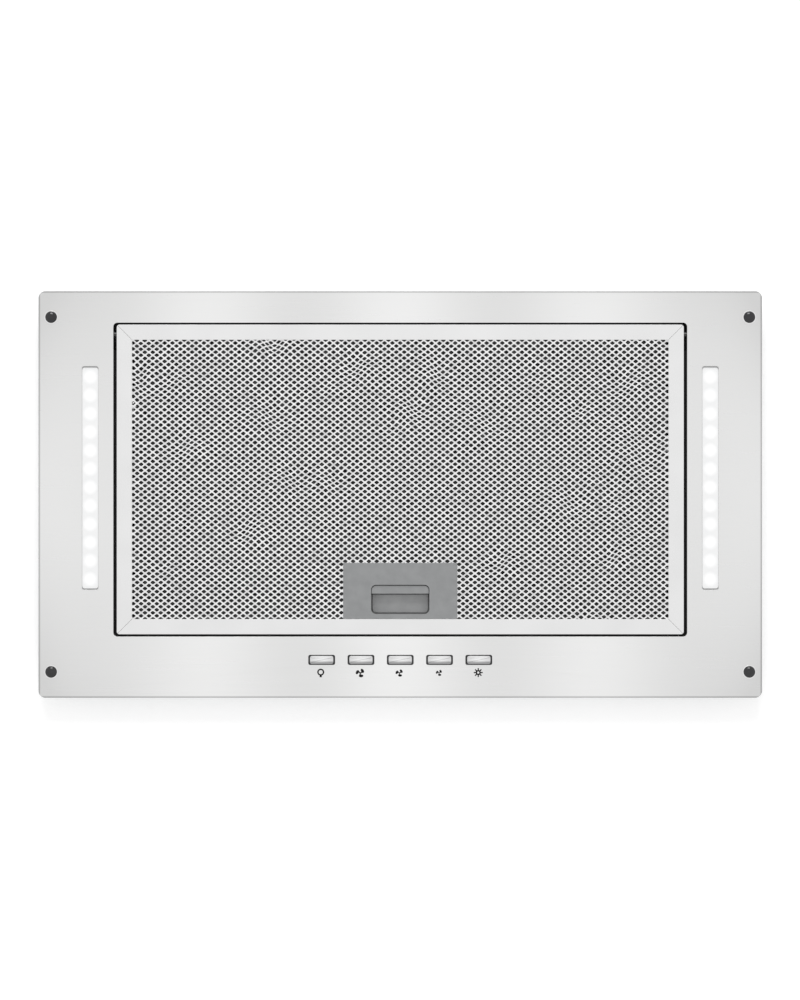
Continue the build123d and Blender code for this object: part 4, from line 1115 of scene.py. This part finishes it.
# ---------------------------------------------------------------- stage
class HOOD_OT_stage(bpy.types.Operator):
    """Sets up the pale floor and backdrop, the light and the camera"""

    bl_idname = "hood.stage"
    bl_label = "Stage"

    def execute(self, context):
        for name, z, turn in (("floor", FLOOR_Z, 0.0), ("backdrop", BACKDROP_Z, pi)):
            add_plane(context.scene, name, z, turn)
        plain_world(context.scene)
        for name, place, size, power in (
            ("key", (0.1, 2.2, -1.6), 1.2, 30.0),
            ("shine", (0.0, -0.1, -2.7), 1.0, 0.4),
            ("top", (-1.2, -1.5, 2.0), 1.8, 18.0),
        ):
            lamp = bpy.data.lights.new(name, "AREA")
            lamp.size = size
            lamp.energy = power
            holder = bpy.data.objects.new(name, lamp)
            holder.location = place
            holder.rotation_euler = (-Vector(place)).to_track_quat("-Z", "Y").to_euler()
            context.scene.collection.objects.link(holder)
        lens = bpy.data.cameras.new("camera")
        lens.lens = 150
        lens.clip_end = 50
        camera = bpy.data.objects.new("camera", lens)
        metres_per_picture = 0.7256
        away = lens.lens / lens.sensor_width * metres_per_picture
        camera.location = (0.18 * MM, -3.99 * MM, FACE_Z - away)
        camera.rotation_euler = Euler((0, pi, 0))
        context.scene.collection.objects.link(camera)
        context.scene.camera = camera
        context.scene.view_settings.view_transform = "Standard"
        return {"FINISHED"}


def add_plane(scene, name, z, turn):
    """A large plane of the stage, which only the camera and shadows meet."""
    shape = bmesh.new()
    place = Matrix.Translation((0, 0, z)) @ Matrix.Rotation(turn, 4, "X")
    bmesh.ops.create_grid(shape, x_segments=1, y_segments=1, size=STAGE_HALF, matrix=place)
    if name == "backdrop":
        cut_opening(shape, 1.0 * MM, "housing_wrap", "housing_end_left", "housing_end_right")
    mesh = bpy.data.meshes.new(name)
    shape.to_mesh(mesh)
    shape.free()
    mesh.materials.append(one_sided(name))
    plane = bpy.data.objects.new(name, mesh)
    scene.collection.objects.link(plane)
    plane.visible_shadow = False
    plane.visible_diffuse = False
    plane.visible_glossy = False
    plane.visible_transmission = False


def cut_opening(shape, clearance, *nodes):
    """Opens a flat sheet where the given nodes pass through it."""
    boxes = [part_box(node) for node in nodes]
    for axis in (0, 1):
        direction = Vector((axis == 0, axis == 1, 0))
        first = min(low[axis] for low, _ in boxes) - clearance
        last = max(high[axis] for _, high in boxes) + clearance
        for end in (first, last):
            everything = shape.verts[:] + shape.edges[:] + shape.faces[:]
            bmesh.ops.bisect_plane(
                shape, geom=everything, plane_co=direction * end, plane_no=direction
            )
    inner = min(shape.faces, key=lambda face: face.calc_area())
    bmesh.ops.delete(shape, geom=[inner], context="FACES")


def one_sided(name):
    """A pale matt surface that is clear from behind and reads as white where no shadow falls."""
    material = bpy.data.materials.new(name)
    material.use_nodes = True
    tree = material.node_tree
    tree.nodes.clear()
    node, link = tree.nodes.new, tree.links.new
    matt, glow = node("ShaderNodeBsdfDiffuse"), node("ShaderNodeEmission")
    clear, both = node("ShaderNodeBsdfTransparent"), node("ShaderNodeAddShader")
    seen, side = node("ShaderNodeLightPath"), node("ShaderNodeNewGeometry")
    level, choose = node("ShaderNodeMath"), node("ShaderNodeMixShader")
    matt.inputs["Color"].default_value = (STAGE_TONE, STAGE_TONE, STAGE_TONE, 1)
    level.operation = "MULTIPLY"
    level.inputs[1].default_value = STAGE_GLOW
    link(seen.outputs["Is Camera Ray"], level.inputs[0])
    link(level.outputs[0], glow.inputs["Strength"])
    link(matt.outputs[0], both.inputs[0])
    link(glow.outputs[0], both.inputs[1])
    link(side.outputs["Backfacing"], choose.inputs[0])
    link(both.outputs[0], choose.inputs[1])
    link(clear.outputs[0], choose.inputs[2])
    link(choose.outputs[0], node("ShaderNodeOutputMaterial").inputs["Surface"])
    return material


def plain_world(scene):
    """White to the camera, in metal and through clear pieces, and a plain level of light."""
    world = bpy.data.worlds.new("plain")
    scene.world = world
    world.use_nodes = True
    tree = world.node_tree
    tree.nodes.clear()
    node, link = tree.nodes.new, tree.links.new
    path = node("ShaderNodeLightPath")
    seen = path.outputs["Is Camera Ray"]
    for ray in ("Is Transmission Ray", "Is Glossy Ray"):
        either = node("ShaderNodeMath")
        either.operation = "MAXIMUM"
        link(seen, either.inputs[0])
        link(path.outputs[ray], either.inputs[1])
        seen = either.outputs[0]
    light, white = node("ShaderNodeBackground"), node("ShaderNodeBackground")
    light.inputs["Color"].default_value = (1, 1, 1, 1)
    light.inputs["Strength"].default_value = WORLD_LEVEL
    white.inputs["Color"].default_value = (1, 1, 1, 1)
    choose = node("ShaderNodeMixShader")
    link(seen, choose.inputs[0])
    link(light.outputs[0], choose.inputs[1])
    link(white.outputs[0], choose.inputs[2])
    link(choose.outputs[0], node("ShaderNodeOutputWorld").inputs["Surface"])


# ---------------------------------------------------------------- add-on
OPERATORS = (
    HOOD_OT_panel,
    HOOD_OT_symbols,
    HOOD_OT_screws,
    HOOD_OT_seal,
    HOOD_OT_filter_frame,
    HOOD_OT_filter_mesh,
    HOOD_OT_latch,
    HOOD_OT_lamps,
    HOOD_OT_buttons,
    HOOD_OT_housing,
    HOOD_OT_blower,
    HOOD_OT_electrics,
    HOOD_OT_stage,
)


class HOOD_PT_sidebar(bpy.types.Panel):
    """Lists the hood's pieces"""

    bl_label = "Range hood insert"
    bl_idname = "HOOD_PT_sidebar"
    bl_space_type = "VIEW_3D"
    bl_region_type = "UI"
    bl_category = "Hood"

    def draw(self, context):
        for group in (context.scene.hood_filter, context.scene.hood_looks):
            for name in group.__annotations__:
                self.layout.prop(group, name)
        for operator in OPERATORS:
            self.layout.operator(operator.bl_idname)


CLASSES = (HoodFilterSizes, HoodLooks, *OPERATORS, HOOD_PT_sidebar)


def register():
    for kind in CLASSES:
        bpy.utils.register_class(kind)
    bpy.types.Scene.hood_filter = bpy.props.PointerProperty(type=HoodFilterSizes)
    bpy.types.Scene.hood_looks = bpy.props.PointerProperty(type=HoodLooks)


def unregister():
    del bpy.types.Scene.hood_looks
    del bpy.types.Scene.hood_filter
    for kind in reversed(CLASSES):
        bpy.utils.unregister_class(kind)


def main():
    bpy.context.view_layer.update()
    register()
    for operator in OPERATORS:
        group, name = operator.bl_idname.split(".")
        getattr(getattr(bpy.ops, group), name)()


if __name__ == "__main__":
    main()
